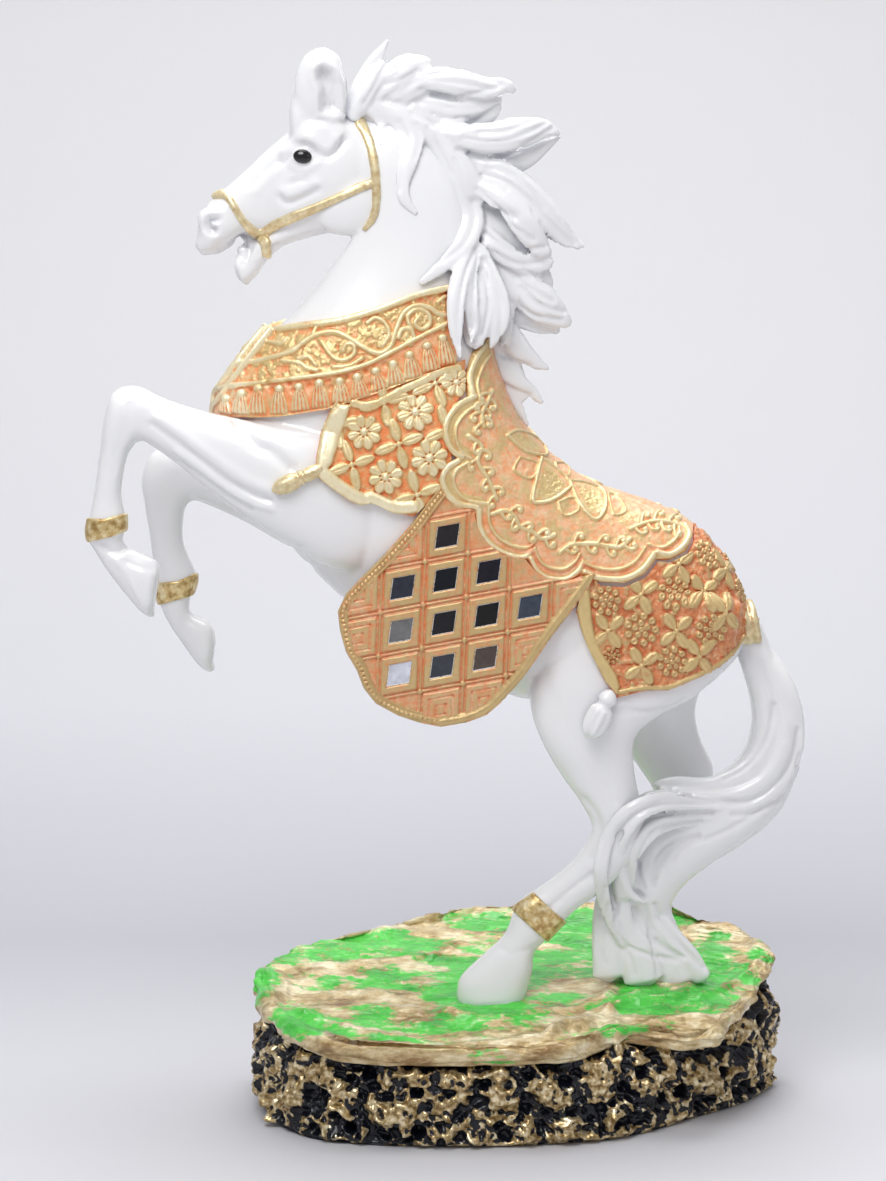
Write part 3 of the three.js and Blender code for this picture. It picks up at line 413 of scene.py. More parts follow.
def signed_inside(pixels, outline):
    """How far pixels lie inside an outline, negative outside, with the nearest point of the outline."""
    outline = np.asarray(outline, float)
    best = np.full(len(pixels), np.inf)
    nearest = np.zeros_like(pixels)
    inside = np.zeros(len(pixels), bool)
    for (ax, ay), (bx, by) in zip(outline, np.roll(outline, -1, axis=0)):
        dx, dy = bx - ax, by - ay
        t = ((pixels[:, 0] - ax) * dx + (pixels[:, 1] - ay) * dy) / max(dx * dx + dy * dy, 1e-9)
        t = np.clip(t, 0, 1)
        qx, qy = ax + t * dx, ay + t * dy
        away = np.hypot(pixels[:, 0] - qx, pixels[:, 1] - qy)
        closer = away < best
        best = np.where(closer, away, best)
        nearest[closer, 0], nearest[closer, 1] = qx[closer], qy[closer]
        if by != ay:
            crosses = (ay > pixels[:, 1]) != (by > pixels[:, 1])
            inside ^= crosses & (pixels[:, 0] < ax + (pixels[:, 1] - ay) / (by - ay) * dx)
    return np.where(inside, best, -best), nearest


def furrowed(corners, faces, lines, tree, spread=3):
    """Corners moved along their normals under lines drawn over the photograph, on both sides."""
    normals = normals_of(corners, faces)
    facing, near_side = folded_normals(corners, normals), folded(corners)
    height = np.zeros(len(corners))
    for pixels, wide, high in lines:
        height += high * bell(line_distance(near_side, facing, traced(pixels, tree), wide * spread), wide)
    return corners + normals * height[:, None]


def kept_faces(corners, faces, keep):
    """The faces that are kept, with only the corners that they use."""
    faces = faces[keep]
    used, index = np.unique(faces, return_inverse=True)
    return corners[used], index.reshape(faces.shape), used


# The least height that is gilded, and how far a groove's fall reaches in half widths
GILDED_FROM = 0.02
GROOVE_REACH = 2.5
# A moulded tassel: how far it is looked for, its ball and the ball's place, its skirt's start and half widths
TASSEL_REACH = 7
TASSEL_BALL, TASSEL_BALL_AT = 1.5, 0.9
SKIRT_AT, SKIRT_TOP, SKIRT_FLARE = 1.8, 1.6, 2.1
SKIRT_RIBS = 2.5
# The rings of a rosette's pearls: how many, the first one's turn, their distance and their size
PEARL_RINGS = ((9, 0.0, 0.78, 0.24), (5, 0.3, 0.36, 0.2), (1, 0.0, 0.0, 0.18))


class Relief:
    """A moulded layer over part of a surface: its corners, and the height and gold at each.

    Pixels are of the photograph; widths, heights and radii are in millimetres.
    """

    def __init__(self, base, outlines, tree=None, levels=2, fold=True, chosen=None, margin=5.0):
        corners, faces = base
        brought = folded if fold else np.copy
        if chosen is not None:
            corners, faces, _ = kept_faces(corners, faces, chosen(corners)[faces].all(axis=1))
        reach = np.max([signed_inside(seen(brought(corners)), outline)[0] for outline in outlines], axis=0)
        corners, faces, _ = kept_faces(corners, faces, (reach > -margin)[faces].any(axis=1))
        corners, faces = modified(corners, faces, "SUBSURF", levels=levels, render_levels=levels)
        normals = normals_of(corners, faces)
        flat = seen(brought(corners))
        reaches, nearests = zip(*(signed_inside(flat, outline) for outline in outlines))
        nearest = np.array(nearests)[np.argmax(reaches, axis=0), np.arange(len(corners))]
        reach = np.max(reaches, axis=0)
        step = (nearest - flat) / PIXELS_PER_MM
        on_edge = corners + np.stack([step[:, 0], 0 * reach, -step[:, 1]], 1)
        corners = np.where((reach < 0)[:, None], on_edge, corners)
        self.corners, self.faces, used = kept_faces(corners, faces, (reach > 0)[faces].any(axis=1))
        self.normals = normals[used]
        self.folded = brought(self.corners)
        self.folded_normals = folded_normals(self.corners, self.normals) if fold else self.normals
        self.flat = seen(self.folded)
        self.inside = np.maximum(reach[used], 0) / PIXELS_PER_MM
        self.height = np.zeros(len(self.corners))
        self.gold = np.zeros(len(self.corners))
        self.tree = tree

    def raise_to(self, height, gold, index=slice(None)):
        """Raises corners to a height where that is higher, and gilds them there."""
        higher = height > self.height[index]
        self.height[index] = np.where(higher, height, self.height[index])
        gilded = np.maximum(self.gold[index], gold)
        self.gold[index] = np.where(higher & (height > GILDED_FROM), gilded, self.gold[index])

    def beside(self, pixels, reach):
        """Corners within reach of a line along pixels, and their distances to it."""
        away = line_distance(self.folded, self.folded_normals, traced(pixels, self.tree), reach)
        near = np.nonzero(away < reach)[0]
        return near, away[near]

    def line(self, pixels, wide, high, gold=1.0, sharp=2.0):
        """A moulded line along pixels, from its half width and height."""
        near, away = self.beside(pixels, wide)
        profile = (1 - (away / wide) ** sharp) ** 0.5
        self.raise_to(high * profile, gold * np.minimum(1, 2.2 * profile), near)

    def groove(self, pixels, wide, deep, gold):
        """A soft groove along pixels."""
        near, away = self.beside(pixels, wide * GROOVE_REACH)
        fall = bell(away, wide)
        self.height[near] -= deep * fall
        self.gold[near] = self.gold[near] * (1 - fall) + gold * fall

    def plate(self, outline, high, soft, gold=1.0):
        """A rounded plate inside an outline, its edge as wide as asked."""
        self.raise_to(high * rounded(signed_inside(self.flat, outline)[0] / PIXELS_PER_MM / soft), gold)

    def local(self, px, py, reach):
        """Corners near a pixel's point on the surface, and their places there, right and up."""
        hit, normal = (np.array(found) for found in surface_at(self.tree, px, py))
        if normal[1] > 0:
            normal = -normal
        right = unit(np.array([1.0, 0, 0]) - normal * normal[0])
        up = np.cross(normal, right)
        up *= 1 if up[2] > 0 else -1
        away = self.folded - hit
        near = np.nonzero(np.einsum("ij,ij->i", away, away) < reach * reach)[0]
        return near, away[near] @ right, away[near] @ up

    def pit(self, px, py, radius, deep):
        """A soft round hollow."""
        near, x, y = self.local(px, py, radius * 2)
        self.height[near] -= deep * bell(np.hypot(x, y), radius)

    def ball(self, px, py, radius, high, gold=1.0):
        """A half ball."""
        near, x, y = self.local(px, py, radius)
        self.raise_to(high * dome(np.hypot(x, y), radius), gold, near)

    def petal(self, local, angle, start, end, wide, high, gold, rib, skew=1.0):
        """A petal from start to end along an angle from the middle, fuller towards its end where skewed."""
        near, x, y = local
        along = x * math.cos(angle) + y * math.sin(angle)
        across = -x * math.sin(angle) + y * math.cos(angle)
        t = (along - start) / (end - start)
        bend = np.clip(t, 0, 1) ** skew
        half = wide * np.sqrt(np.clip(4 * bend * (1 - bend), 0, 1))
        inside = (t > 0) & (t < 1) & (np.abs(across) < half)
        share = np.where(inside, 1 - (across / np.maximum(half, 1e-6)) ** 2, 0)
        self.raise_to(high * np.sqrt(share) - np.where(inside, rib * bell(across, 0.35), 0), gold, near)

    def daisy(self, px, py, radius, high, petals=8, turn=0.3):
        """A flower of rounded petals round a button."""
        local = near, x, y = self.local(px, py, radius * 1.05)
        for k in range(petals):
            angle = turn + 2 * math.pi * k / petals
            self.petal(local, angle, radius * 0.2, radius, radius * 2.5 / petals, high, 1.0, 0.25, 1.6)
        self.raise_to(high * 1.15 * dome(np.hypot(x, y), radius * 0.28), 1.0, near)

    def leaves(self, px, py, length, wide, high, angles, rib, gold):
        """Pointed leaves round a small button, at angles in degrees."""
        local = near, x, y = self.local(px, py, length * 1.1)
        for angle in angles:
            self.petal(local, math.radians(angle), length * 0.1, length, wide, high, gold, rib)
        self.raise_to(high * 1.1 * dome(np.hypot(x, y), wide * 0.55), gold, near)

    def pearl_rosette(self, px, py, radius, high):
        """Two rings of pearls round one more, each pearl drilled in its middle."""
        near, x, y = self.local(px, py, radius * 1.1)
        bed = dome(np.hypot(x, y), radius)
        self.height[near] *= 1 - 0.8 * bed
        self.raise_to(high * 0.25 * bed, 0.3, near)
        for count, start, ring, size in PEARL_RINGS:
            for k in range(count):
                angle = 2 * math.pi * (k + start) / count
                away = np.hypot(x - ring * radius * math.cos(angle), y - ring * radius * math.sin(angle))
                pearl = dome(away, size * radius)
                self.raise_to(high * pearl - 0.55 * high * bell(away, 0.09 * radius), 1.0, near)

    def hanging_tassel(self, top, foot, high):
        """A ball over a ribbed skirt, between two pixels."""
        (x0, y0), (x1, y1) = top, foot
        near, x, y = self.local((x0 + x1) / 2, (y0 + y1) / 2, TASSEL_REACH)
        down = np.array([x1 - x0, y0 - y1], float)
        length = np.linalg.norm(down) / PIXELS_PER_MM
        down = unit(down)
        along = x * down[0] + y * down[1] + length / 2
        across = -x * down[1] + y * down[0]
        ball = dome(np.hypot(along - TASSEL_BALL_AT, across * 0.8), TASSEL_BALL)
        self.raise_to(high * 1.15 * ball, 1.0, near)
        t = (along - SKIRT_AT) / (length - SKIRT_AT)
        half = SKIRT_TOP + SKIRT_FLARE * (1 - (1 - np.clip(t, 0, 1)) ** 2)
        inside = (t > 0) & (t < 1) & (np.abs(across) < half)
        ribs = np.abs(np.cos(across / half * math.pi * SKIRT_RIBS)) ** 0.8
        body = high * np.sqrt(np.where(inside, 1 - (across / half) ** 4, 0))
        skirt = body * (0.4 + 0.6 * ribs) * np.minimum(1, (1 - t) * 7)
        self.raise_to(np.where(inside, skirt, 0), 0.9 * ribs, near)

    def beads(self, pixels, spacing, radius, high):
        """A row of beads along pixels."""
        line = traced(pixels, self.tree, 10)
        run = np.concatenate([[0], np.cumsum(np.linalg.norm(np.diff(line, axis=0), axis=1))])
        for place in np.arange(0, run[-1], spacing):
            away = self.folded - [np.interp(place, run, line[:, k]) for k in range(3)]
            near = np.nonzero(np.einsum("ij,ij->i", away, away) < (radius * 2) ** 2)[0]
            away, normal = away[near], self.folded_normals[near]
            level = away - normal * np.einsum("ij,ij->i", away, normal)[:, None]
            self.raise_to(high * dome(np.linalg.norm(level, axis=1), radius), 1.0, near)

    def object(self, name, material, thick, edge=-0.8):
        """The layer as a mesh with its edges turned down to the surface below."""
        top = self.corners + self.normals * (thick + self.height)[:, None]
        pairs = np.concatenate([self.faces[:, [k, (k + 1) % 4]] for k in range(4)]).astype(np.int64)
        count = len(self.corners)
        rim = pairs[~np.isin(pairs[:, 0] * count + pairs[:, 1], pairs[:, 1] * count + pairs[:, 0])]
        on_rim, index = np.unique(rim, return_inverse=True)
        index = index.reshape(rim.shape) + count
        low = self.corners[on_rim] + self.normals[on_rim] * edge
        walls = np.stack([rim[:, 1], rim[:, 0], index[:, 0], index[:, 1]], 1)
        relief, gold = (np.concatenate([values, values[on_rim]]) for values in (self.height, self.gold))
        corners, faces = np.concatenate([top, low]), np.concatenate([self.faces, walls])
        return mesh_object(name, corners, faces, material, relief=relief, gold=gold)


def chance(ix, iy, iz, seed):
    """An even chance from nought to one for each whole place."""
    mixed_bits = (ix * 374761393 + iy * 668265263 + iz * 1440662683 + seed * 974634777) & 0xFFFFFFFF
    mixed_bits = ((mixed_bits ^ (mixed_bits >> 13)) * 1274126177) & 0xFFFFFFFF
    return ((mixed_bits ^ (mixed_bits >> 16)) & 0xFFFFFF) / 0xFFFFFF


def lumps(points, scale, seed=0):
    """Smooth hills and hollows of that size, from nought to one."""
    p = points / scale
    whole = np.floor(p).astype(np.int64)
    f = p - whole
    f = f * f * (3 - 2 * f)
    total = np.zeros(len(points))
    for dx, dy, dz in product((0, 1), repeat=3):
        weight = np.abs(1 - dx - f[:, 0]) * np.abs(1 - dy - f[:, 1]) * np.abs(1 - dz - f[:, 2])
        total += weight * chance(whole[:, 0] + dx, whole[:, 1] + dy, whole[:, 2] + dz, seed)
    return total


def rough(points, scale, octaves, seed=0):
    """Hills upon hills, each set half the size and height of the last, from nought to one."""
    total, weight = np.zeros(len(points)), 0.0
    for k in range(octaves):
        total += lumps(points, scale / 2**k, seed + k) / 2**k
        weight += 1 / 2**k
    return total / weight


def pits(points, scale, seed=0):
    """Distance to the nearest of many scattered spots, as a share of their spacing."""
    p = points / scale
    whole = np.floor(p).astype(np.int64)
    best = np.full(len(points), 9.0)
    for step in product((-1, 0, 1), repeat=3):
        cell = whole + step
        place = cell + np.stack([chance(cell[:, 0], cell[:, 1], cell[:, 2], seed + k) for k in range(3)], 1)
        best = np.minimum(best, np.linalg.norm(place - p, axis=1))
    return best


class Paint:
    """A procedural material: its nodes, its shader and the object's own coordinates."""

    def __init__(self, name, **looks):
        self.material = bpy.data.materials.new(name)
        self.material.use_nodes = True
        self.nodes, self.links = self.material.node_tree.nodes, self.material.node_tree.links
        self.shader = self.nodes["Principled BSDF"]
        self.place = self.node("TexCoord", "Object", {})
        self.look(**looks)

    def put(self, value, socket):
        """Links a socket to an output, or sets it to a number, a vector or a colour."""
        if isinstance(value, bpy.types.NodeSocket):
            self.links.new(value, socket)
        else:
            socket.default_value = (*value, 1) if socket.type == "RGBA" else value

    def look(self, **looks):
        """Sets or links the shader's sockets, with underscores for the spaces in their names."""
        for label, value in looks.items():
            self.put(value, self.shader.inputs[label.replace("_", " ")])

    def node(self, kind, output, inputs, **settings):
        """One output of a new node with those inputs and settings."""
        node = self.nodes.new("ShaderNode" + kind)
        for label, value in settings.items():
            setattr(node, label, value)
        for label, value in inputs.items():
            self.put(value, node.inputs[label])
        return node.outputs[output]

    def noise(self, scale, detail=4, rough=0.6, place=None):
        """Cloudy noise, its scale per metre."""
        place = self.place if place is None else place
        sizes = {"Vector": place, "Scale": scale, "Detail": detail, "Roughness": rough}
        return self.node("TexNoise", "Fac", sizes)

    def attribute(self, label):
        """A layer of numbers of the mesh."""
        return self.node("Attribute", "Fac", {}, attribute_name=label)

    def hollow(self, distance):
        """Less than one in hollows of that size, in metres: an occlusion mask used to paint shade into them.
        """
        return self.node("AmbientOcclusion", "AO", {"Distance": distance}, samples=4)

    def ramp(self, factor, stops):
        """A colour ramp over a factor, from stops of (place, colour)."""
        colour = self.node("ValToRGB", "Color", {"Fac": factor})
        elements = colour.node.color_ramp.elements
        while len(elements) < len(stops):
            elements.new(0.5)
        for element, (place, tone) in zip(elements, stops):
            element.position = place
            element.color = (*tone, 1)
        return colour

    def math(self, operation, first, second):
        return self.node("Math", "Value", {0: first, 1: second}, operation=operation)

    def swayed(self, value, noise, amount):
        """A value with noise added to it, as much up as down."""
        return self.math("ADD", value, self.math("MULTIPLY", self.math("SUBTRACT", noise, 0.5), amount))

    def step(self, value, low, high, **settings):
        """Nought up to the low value, one from the high value on."""
        limits = {"Value": value, "From Min": low, "From Max": high}
        return self.node("MapRange", "Result", limits, **settings)

    def mix(self, factor, first, second, **settings):
        sides = {"Factor": factor, "A": first, "B": second}
        return self.node("Mix", "Result", sides, data_type="RGBA", **settings)

    def bump(self, height, strength, distance):
        relief = {"Height": height, "Strength": strength, "Distance": distance}
        self.look(Normal=self.node("Bump", "Normal", relief))


# Profiles of the horse, as in the frame: [upper x, upper z, lower x, lower z, middle y, half width]
NECK = [
    [-62, 325, -58, 289, 0, 11],
    [-44, 324, -62, 281.5, 0, 12.5],
    [-27, 311, -70, 272, 0, 13.5],
    [-18, 292, -79, 260.5, 0, 15.5],
    [-15, 269, -88.5, 250.5, 0, 19],
    [-14, 251, -99, 241, 0, 23],
    [-8, 228, -109, 227, 0, 26.5],
    [2, 206, -111, 212, 0, 27],
]
TRUNK = [
    [-45, 238, -97, 190, 0, 25],
    [-25, 243, -88, 172, 0, 28.5],
    [-14, 236, -75, 157, 0, 30],
    [-4, 218, -58, 142, 0, 30.5],
    [7, 204, -38, 129, 0, 30],
    [21, 193, -18, 118.5, 0, 29.5],
    [37, 186, 0, 111, 0, 29],
    [57, 179, 12, 112, 0, 28.5],
    [72, 166, 24, 110, 0, 27],
    [81, 149, 38, 110, 0, 23],
    [83, 135, 58, 112, 0, 17],
]
HEAD = [
    [-58, 326, -54, 292, 0, 10.5],
    [-70, 327.5, -63, 283.5, 0, 13.5],
    [-79, 325, -75, 284, 0, 14],
    [-87, 319, -84, 282.5, 0, 12.5],
    [-94, 313, -91, 282.5, 0, 10],
    [-101, 306.5, -97, 283, 0, 8.6],
    [-108.5, 300, -102, 282.5, 0, 8],
    [-114, 295.5, -107, 279.5, 0, 8.6],
    [-118, 288.5, -111, 277, 0, 8.4],
    [-119, 282, -115.5, 276.5, 0, 6.6],
]
JAW = [
    [-74, 292, -70, 284, 0, 9],
    [-88, 287, -86, 279.5, 0, 8],
    [-96, 282, -93, 274, 0, 6.5],
    [-100.5, 279, -97, 268.5, 0, 6],
    [-104, 275, -101, 264.8, 0, 5.5],
]
EAR = [
    [-81, 322, -65, 322, -7, 4],
    [-82.5, 332, -64.5, 332, -9, 4.5],
    [-82, 341, -65, 341, -10, 4],
    [-79, 347.5, -67, 347.5, -10.5, 3],
    [-75, 350, -71, 350, -10.5, 1.5],
]
NEAR_HIND = [
    [12, 159, 80, 147, -14, 14],
    [6, 139, 75, 127, -16, 13.5],
    [3, 122, 65, 116, -18, 13],
    [3.5, 109, 51, 108, -19, 12],
    [8, 97, 42, 100, -20, 10.5],
    [15, 85, 41.5, 88, -20, 8.5],
    [22, 75, 44, 76, -20, 7.5],
    [26, 65, 48, 64, -20, 7.2],
    [20, 54, 34, 45, -20, 6.5],
    [10, 45, 20, 34, -20, 6],
    [-1, 37, 10, 23.5, -20, 7],
    [-6, 25, 5, 18, -20, 6.5],
    [-15.5, 15.5, 4.5, 12, -20, 7.5],
    [-23, 7.5, 3, 5, -20, 8.5],
    [-24, -1, 1.5, -1, -20, 9],
]
FAR_HIND = [
    [14, 159, 82, 146, 14, 14],
    [12, 139, 78, 127, 16, 13.5],
    [16, 120, 71, 115, 18, 13],
    [25, 104, 67, 103, 19, 12],
    [37, 91, 69, 91, 20, 9.5],
    [46, 79, 74, 80, 20, 8],
    [52, 69, 73, 71, 20, 7.5],
    [52, 59, 67, 58, 20, 6.5],
    [46, 46, 58, 44, 20, 6],
    [43.5, 35, 56.5, 31, 20, 7],
    [40, 26, 54, 21, 20, 6.3],
    [36, 18, 55, 14, 20, 8.5],
    [32, 10.5, 56, 9.5, 20, 10],
    [31, 6.5, 56, 6.5, 20, 10.5],
]
NEAR_FORE = [
    [-52, 216, -60, 160, -17, 12],
    [-70, 216, -72, 164, -20, 12],
    [-90, 216, -84, 171, -22, 11.5],
    [-105, 218.5, -98, 180, -22, 10.5],
    [-118, 221.5, -112, 190.5, -22, 9.5],
    [-130, 225.5, -124, 200.5, -22, 8.5],
    [-140, 230, -133.5, 207.5, -22, 8],
    [-148.5, 227.5, -138, 210, -22, 8],
    [-152, 217, -141.5, 208, -22, 7.5],
    [-153.5, 206, -144.2, 202, -22, 6.3],
    [-156, 190, -146, 191, -22, 5.8],
    [-158.5, 176, -144.5, 180.5, -22, 6.8],
    [-155.5, 169, -145.5, 173, -22, 5.4],
    [-150.5, 161, -140.5, 169.5, -22, 6.2],
    [-144, 152.5, -132.8, 164.8, -22, 7.4],
    [-139.8, 147.6, -133.6, 153.8, -22, 6.4],
    [-137, 145.6, -135, 148.2, -22, 3.6],
]
FAR_FORE = [
    [-55, 212, -62, 160, 17, 12],
    [-75, 212, -76, 162, 20, 12],
    [-92, 211, -88, 165, 22, 11.5],
    [-106, 209.5, -101, 172.5, 22, 10.5],
    [-119, 207, -111, 177.5, 22, 9.3],
    [-130, 204.5, -119, 181, 22, 8.5],
    [-138.5, 200, -123, 182, 22, 8],
    [-142.5, 190.5, -125.5, 180.5, 22, 7.6],
    [-141.5, 180, -127, 175.5, 22, 6.5],
    [-139.5, 166, -127, 165.5, 22, 5.8],
    [-138, 152, -122.5, 153.5, 22, 6.8],
    [-136.5, 143, -124.5, 146, 22, 6],
    [-133, 135, -124.8, 139.2, 22, 5.6],
    [-127.5, 126.5, -117.5, 135, 22, 7.0],
    [-122.5, 119.5, -115.4, 129, 22, 6.8],
    [-119, 116.6, -116.6, 119.5, 22, 3.8],
]
TAIL = [
    [89, 140, 80, 129, 0, 5],
    [99, 117, 85, 113.5, 0, 7.5],
    [105, 104, 86.5, 102, 0, 8.5],
    [105.5, 90, 84, 91, 0, 9],
    [101, 75, 77, 83, 0, 9.5],
    [90, 61, 66, 78, -2, 10],
    [74, 50, 51, 73, -5, 10],
    [62, 41, 39, 62, -7, 10],
    [57, 32, 32, 44, -6, 10],
    [60, 22, 31, 22, -3, 10],
    [68, 1, 33, 1, 0, 10],
]


# Colours of the enamel and of the gold, and the numbers of the shaders that wear them
# The enamel's colour in its hollows is painted shade
PAINTED_SHADE_WHITE = (0.60, 0.61, 0.67)
FULL_WHITE = (0.87, 0.87, 0.88)
PALE_GOLD = (0.76, 0.57, 0.26)
# Pale cream at the top of the gold ramps: part the paint's own pale tone, part painted highlight
CREAM_AND_PAINTED_HIGHLIGHT = (0.96, 0.86, 0.58)
DEEP_GOLD = (0.52, 0.33, 0.11)
TAN_GOLD = (0.58, 0.40, 0.18)
# Colours that an occlusion mask lays into the cloths' hollows: part orange wash, part painted shade
BROWN_WASH_AND_SHADE = (0.42, 0.10, 0.04)
ORANGE_WASH_AND_SHADE = (1.0, 0.50, 0.30)
NO_WASH_OR_SHADE = (1.0, 1.0, 1.0)
OLD_GILT = (DEEP_GOLD, TAN_GOLD, PALE_GOLD)


def white_paint():
    """Glossy white enamel, with painted shade: greyer and a little bluer in its hollows."""
    paint = Paint("white_enamel", Roughness=0.22, Coat_Weight=0.6, Coat_Roughness=0.08)
    # Painted shade: the occlusion mask darkens the enamel towards grey-blue in hollows and creases.
    paint.look(Base_Color=paint.ramp(paint.hollow(0.008), [(0.0, PAINTED_SHADE_WHITE), (0.75, FULL_WHITE)]))
    paint.bump(paint.noise(260, 3, 0.5), 0.06, 0.0006)
    return paint.material


def gilded_cloth(name, wash, deep, worn, tones=(DEEP_GOLD, PALE_GOLD, CREAM_AND_PAINTED_HIGHLIGHT)):
    """Orange wash and painted shade in the hollows of a moulded cloth, dry-brushed gold and painted highlight
    on what stands up from it.
    """
    paint = Paint(name, Roughness=0.36, Coat_Weight=0.25, Coat_Roughness=0.25)
    blotch, fleck, grain = paint.noise(120, 5), paint.noise(380, 4, 0.7), paint.noise(900)
    cover = paint.attribute("gold")
    for noise, amount in ((blotch, worn), (fleck, 1.1), (grain, 0.5)):
        cover = paint.swayed(cover, noise, amount)
    cover = paint.step(cover, 0.25, 0.75, interpolation_type="SMOOTHSTEP")
    # Painted highlight with dry-brushed gold: the gold pales towards cream where the relief stands higher,
    # and in random blotches.
    tone = paint.math("MULTIPLY", paint.attribute("relief"), 0.25)
    for noise in (blotch, fleck):
        tone = paint.math("ADD", tone, paint.math("MULTIPLY", noise, 0.45))
    ground = paint.ramp(fleck, [(0.36, deep), (0.58, wash), (0.72, CREAM_AND_PAINTED_HIGHLIGHT)])
    colour = paint.mix(cover, ground, paint.ramp(tone, list(zip((0.3, 0.62, 0.95), tones))))
    # Painted shade with real wash: occlusion tints the hollows orange and darkens the deepest of them to
    # brown.
    wash_and_shade = paint.ramp(paint.hollow(0.0016), [(0.2, BROWN_WASH_AND_SHADE), (0.5, ORANGE_WASH_AND_SHADE), (0.82, NO_WASH_OR_SHADE)])
    paint.look(Base_Color=paint.mix(0.9, colour, wash_and_shade, blend_type="MULTIPLY"))
    paint.look(Metallic=paint.math("MULTIPLY", cover, 0.4))
    paint.bump(fleck, 0.5, 0.0008)
    return paint.material


def gold_paint(name, base, dark):
    """Brushed gold paint, in specks from a darker brown to cream."""
    paint = Paint(name, Metallic=0.55, Roughness=0.34)
    # Its cream specks are part pale paint, part painted highlight.
    paint.look(Base_Color=paint.ramp(paint.noise(350, 5), [(0.35, dark), (0.5, base), (0.72, CREAM_AND_PAINTED_HIGHLIGHT)]))
    paint.bump(paint.noise(1400, 3), 0.3, 0.0003)
    return paint.material


def speckled(name, scale, detail, stops, **looks):
    """A paint of two tones in small specks."""
    paint = Paint(name, **looks)
    paint.look(Base_Color=paint.ramp(paint.noise(scale, detail), stops))
    return paint.material


WHITE = white_paint()
COLLAR_PAINT = gilded_cloth("collar_paint", (0.90, 0.50, 0.26), (0.82, 0.28, 0.09), 1.3)
PANEL_PAINT = gilded_cloth("panel_paint", (0.90, 0.38, 0.15), (0.82, 0.23, 0.06), 0.8)
SADDLE_PAINT = gilded_cloth("saddle_paint", (0.90, 0.56, 0.34), (0.84, 0.36, 0.15), 1.4)
CROUP_PAINT = gilded_cloth("croup_paint", (0.78, 0.34, 0.15), (0.60, 0.16, 0.04), 1.0, OLD_GILT)
FLAP_PAINT = gilded_cloth("flap_paint", (0.80, 0.44, 0.24), (0.74, 0.28, 0.10), 0.9, OLD_GILT)
BRIDLE_GOLD = gold_paint("bridle_gold", (0.80, 0.66, 0.40), (0.66, 0.50, 0.26))
BAND_GOLD = gold_paint("band_gold", (0.68, 0.50, 0.22), (0.40, 0.24, 0.08))
EYE_BLACK = speckled("eye_black", 600, 2, [(0.3, (0.002, 0.002, 0.003)), (0.7, (0.008, 0.008, 0.011))],
                     Roughness=0.12, Coat_Weight=0.35)
SILVER_RIM = speckled("silver_rim", 1500, 2, [(0.35, (0.22, 0.20, 0.18)), (0.48, (0.95, 0.95, 0.93))],
                      Metallic=0.7, Roughness=0.3)

# The horse's skin: profiles and swellings melted into one casting
SKIN_VOXEL = 1.0
# How a melted skin is softened: rounds, pull towards the neighbours, push back
SKIN_RELAX, HAIR_RELAX, BARE_RELAX = (10, 0.6, 0.62), (3, 0.5, 0.52), (12, 0.6, 0.5)
BARE_NECK = rail_loft(NECK, ends=(6, 14))
BARE_TRUNK = rail_loft(TRUNK, ends=(10, 5))
BARE_HEAD = [rail_loft(HEAD, ends=(5, 2.2)), rail_loft(JAW, ends=(2, 2))]
BARE_EAR = rail_loft(EAR, ends=(1, 1), points=24)
SHARED = [BARE_NECK, BARE_TRUNK] + BARE_HEAD + [BARE_EAR, flipped(BARE_EAR)]
SHARED += [rail_loft(leg, ends=(5, 0)) for leg in (NEAR_HIND, FAR_HIND)]
SHARED += [rail_loft(leg, ends=(4, 2)) for leg in (NEAR_FORE, FAR_FORE)]
# [pixel x, pixel y, depth y, half width, half height, half depth, turn]
SWELLINGS = [
    (350, 205, -9.0, 13, 11, 5.0, 20),
    (321, 134, -8.5, 10.5, 7, 5, -10),
    (250, 249, 0, 4.2, 3.6, 4.2, 0),
    (300, 118, -6, 4, 12, 6, 0),
    (303, 190, -9, 8, 3.2, 3, 18),
    (213, 222, -5.2, 5, 6, 4, 60),
    (303, 157, -11, 5.4, 4.4, 3.6, 0),
]
BLOBS = [blob(*row) for row in SWELLINGS]
BLOBS += [flipped(part) for part in BLOBS]
skin, skin_faces = melted(SHARED + BLOBS, SKIN_VOXEL, *SKIN_RELAX)
skin_tree = tree_of(skin, skin_faces)

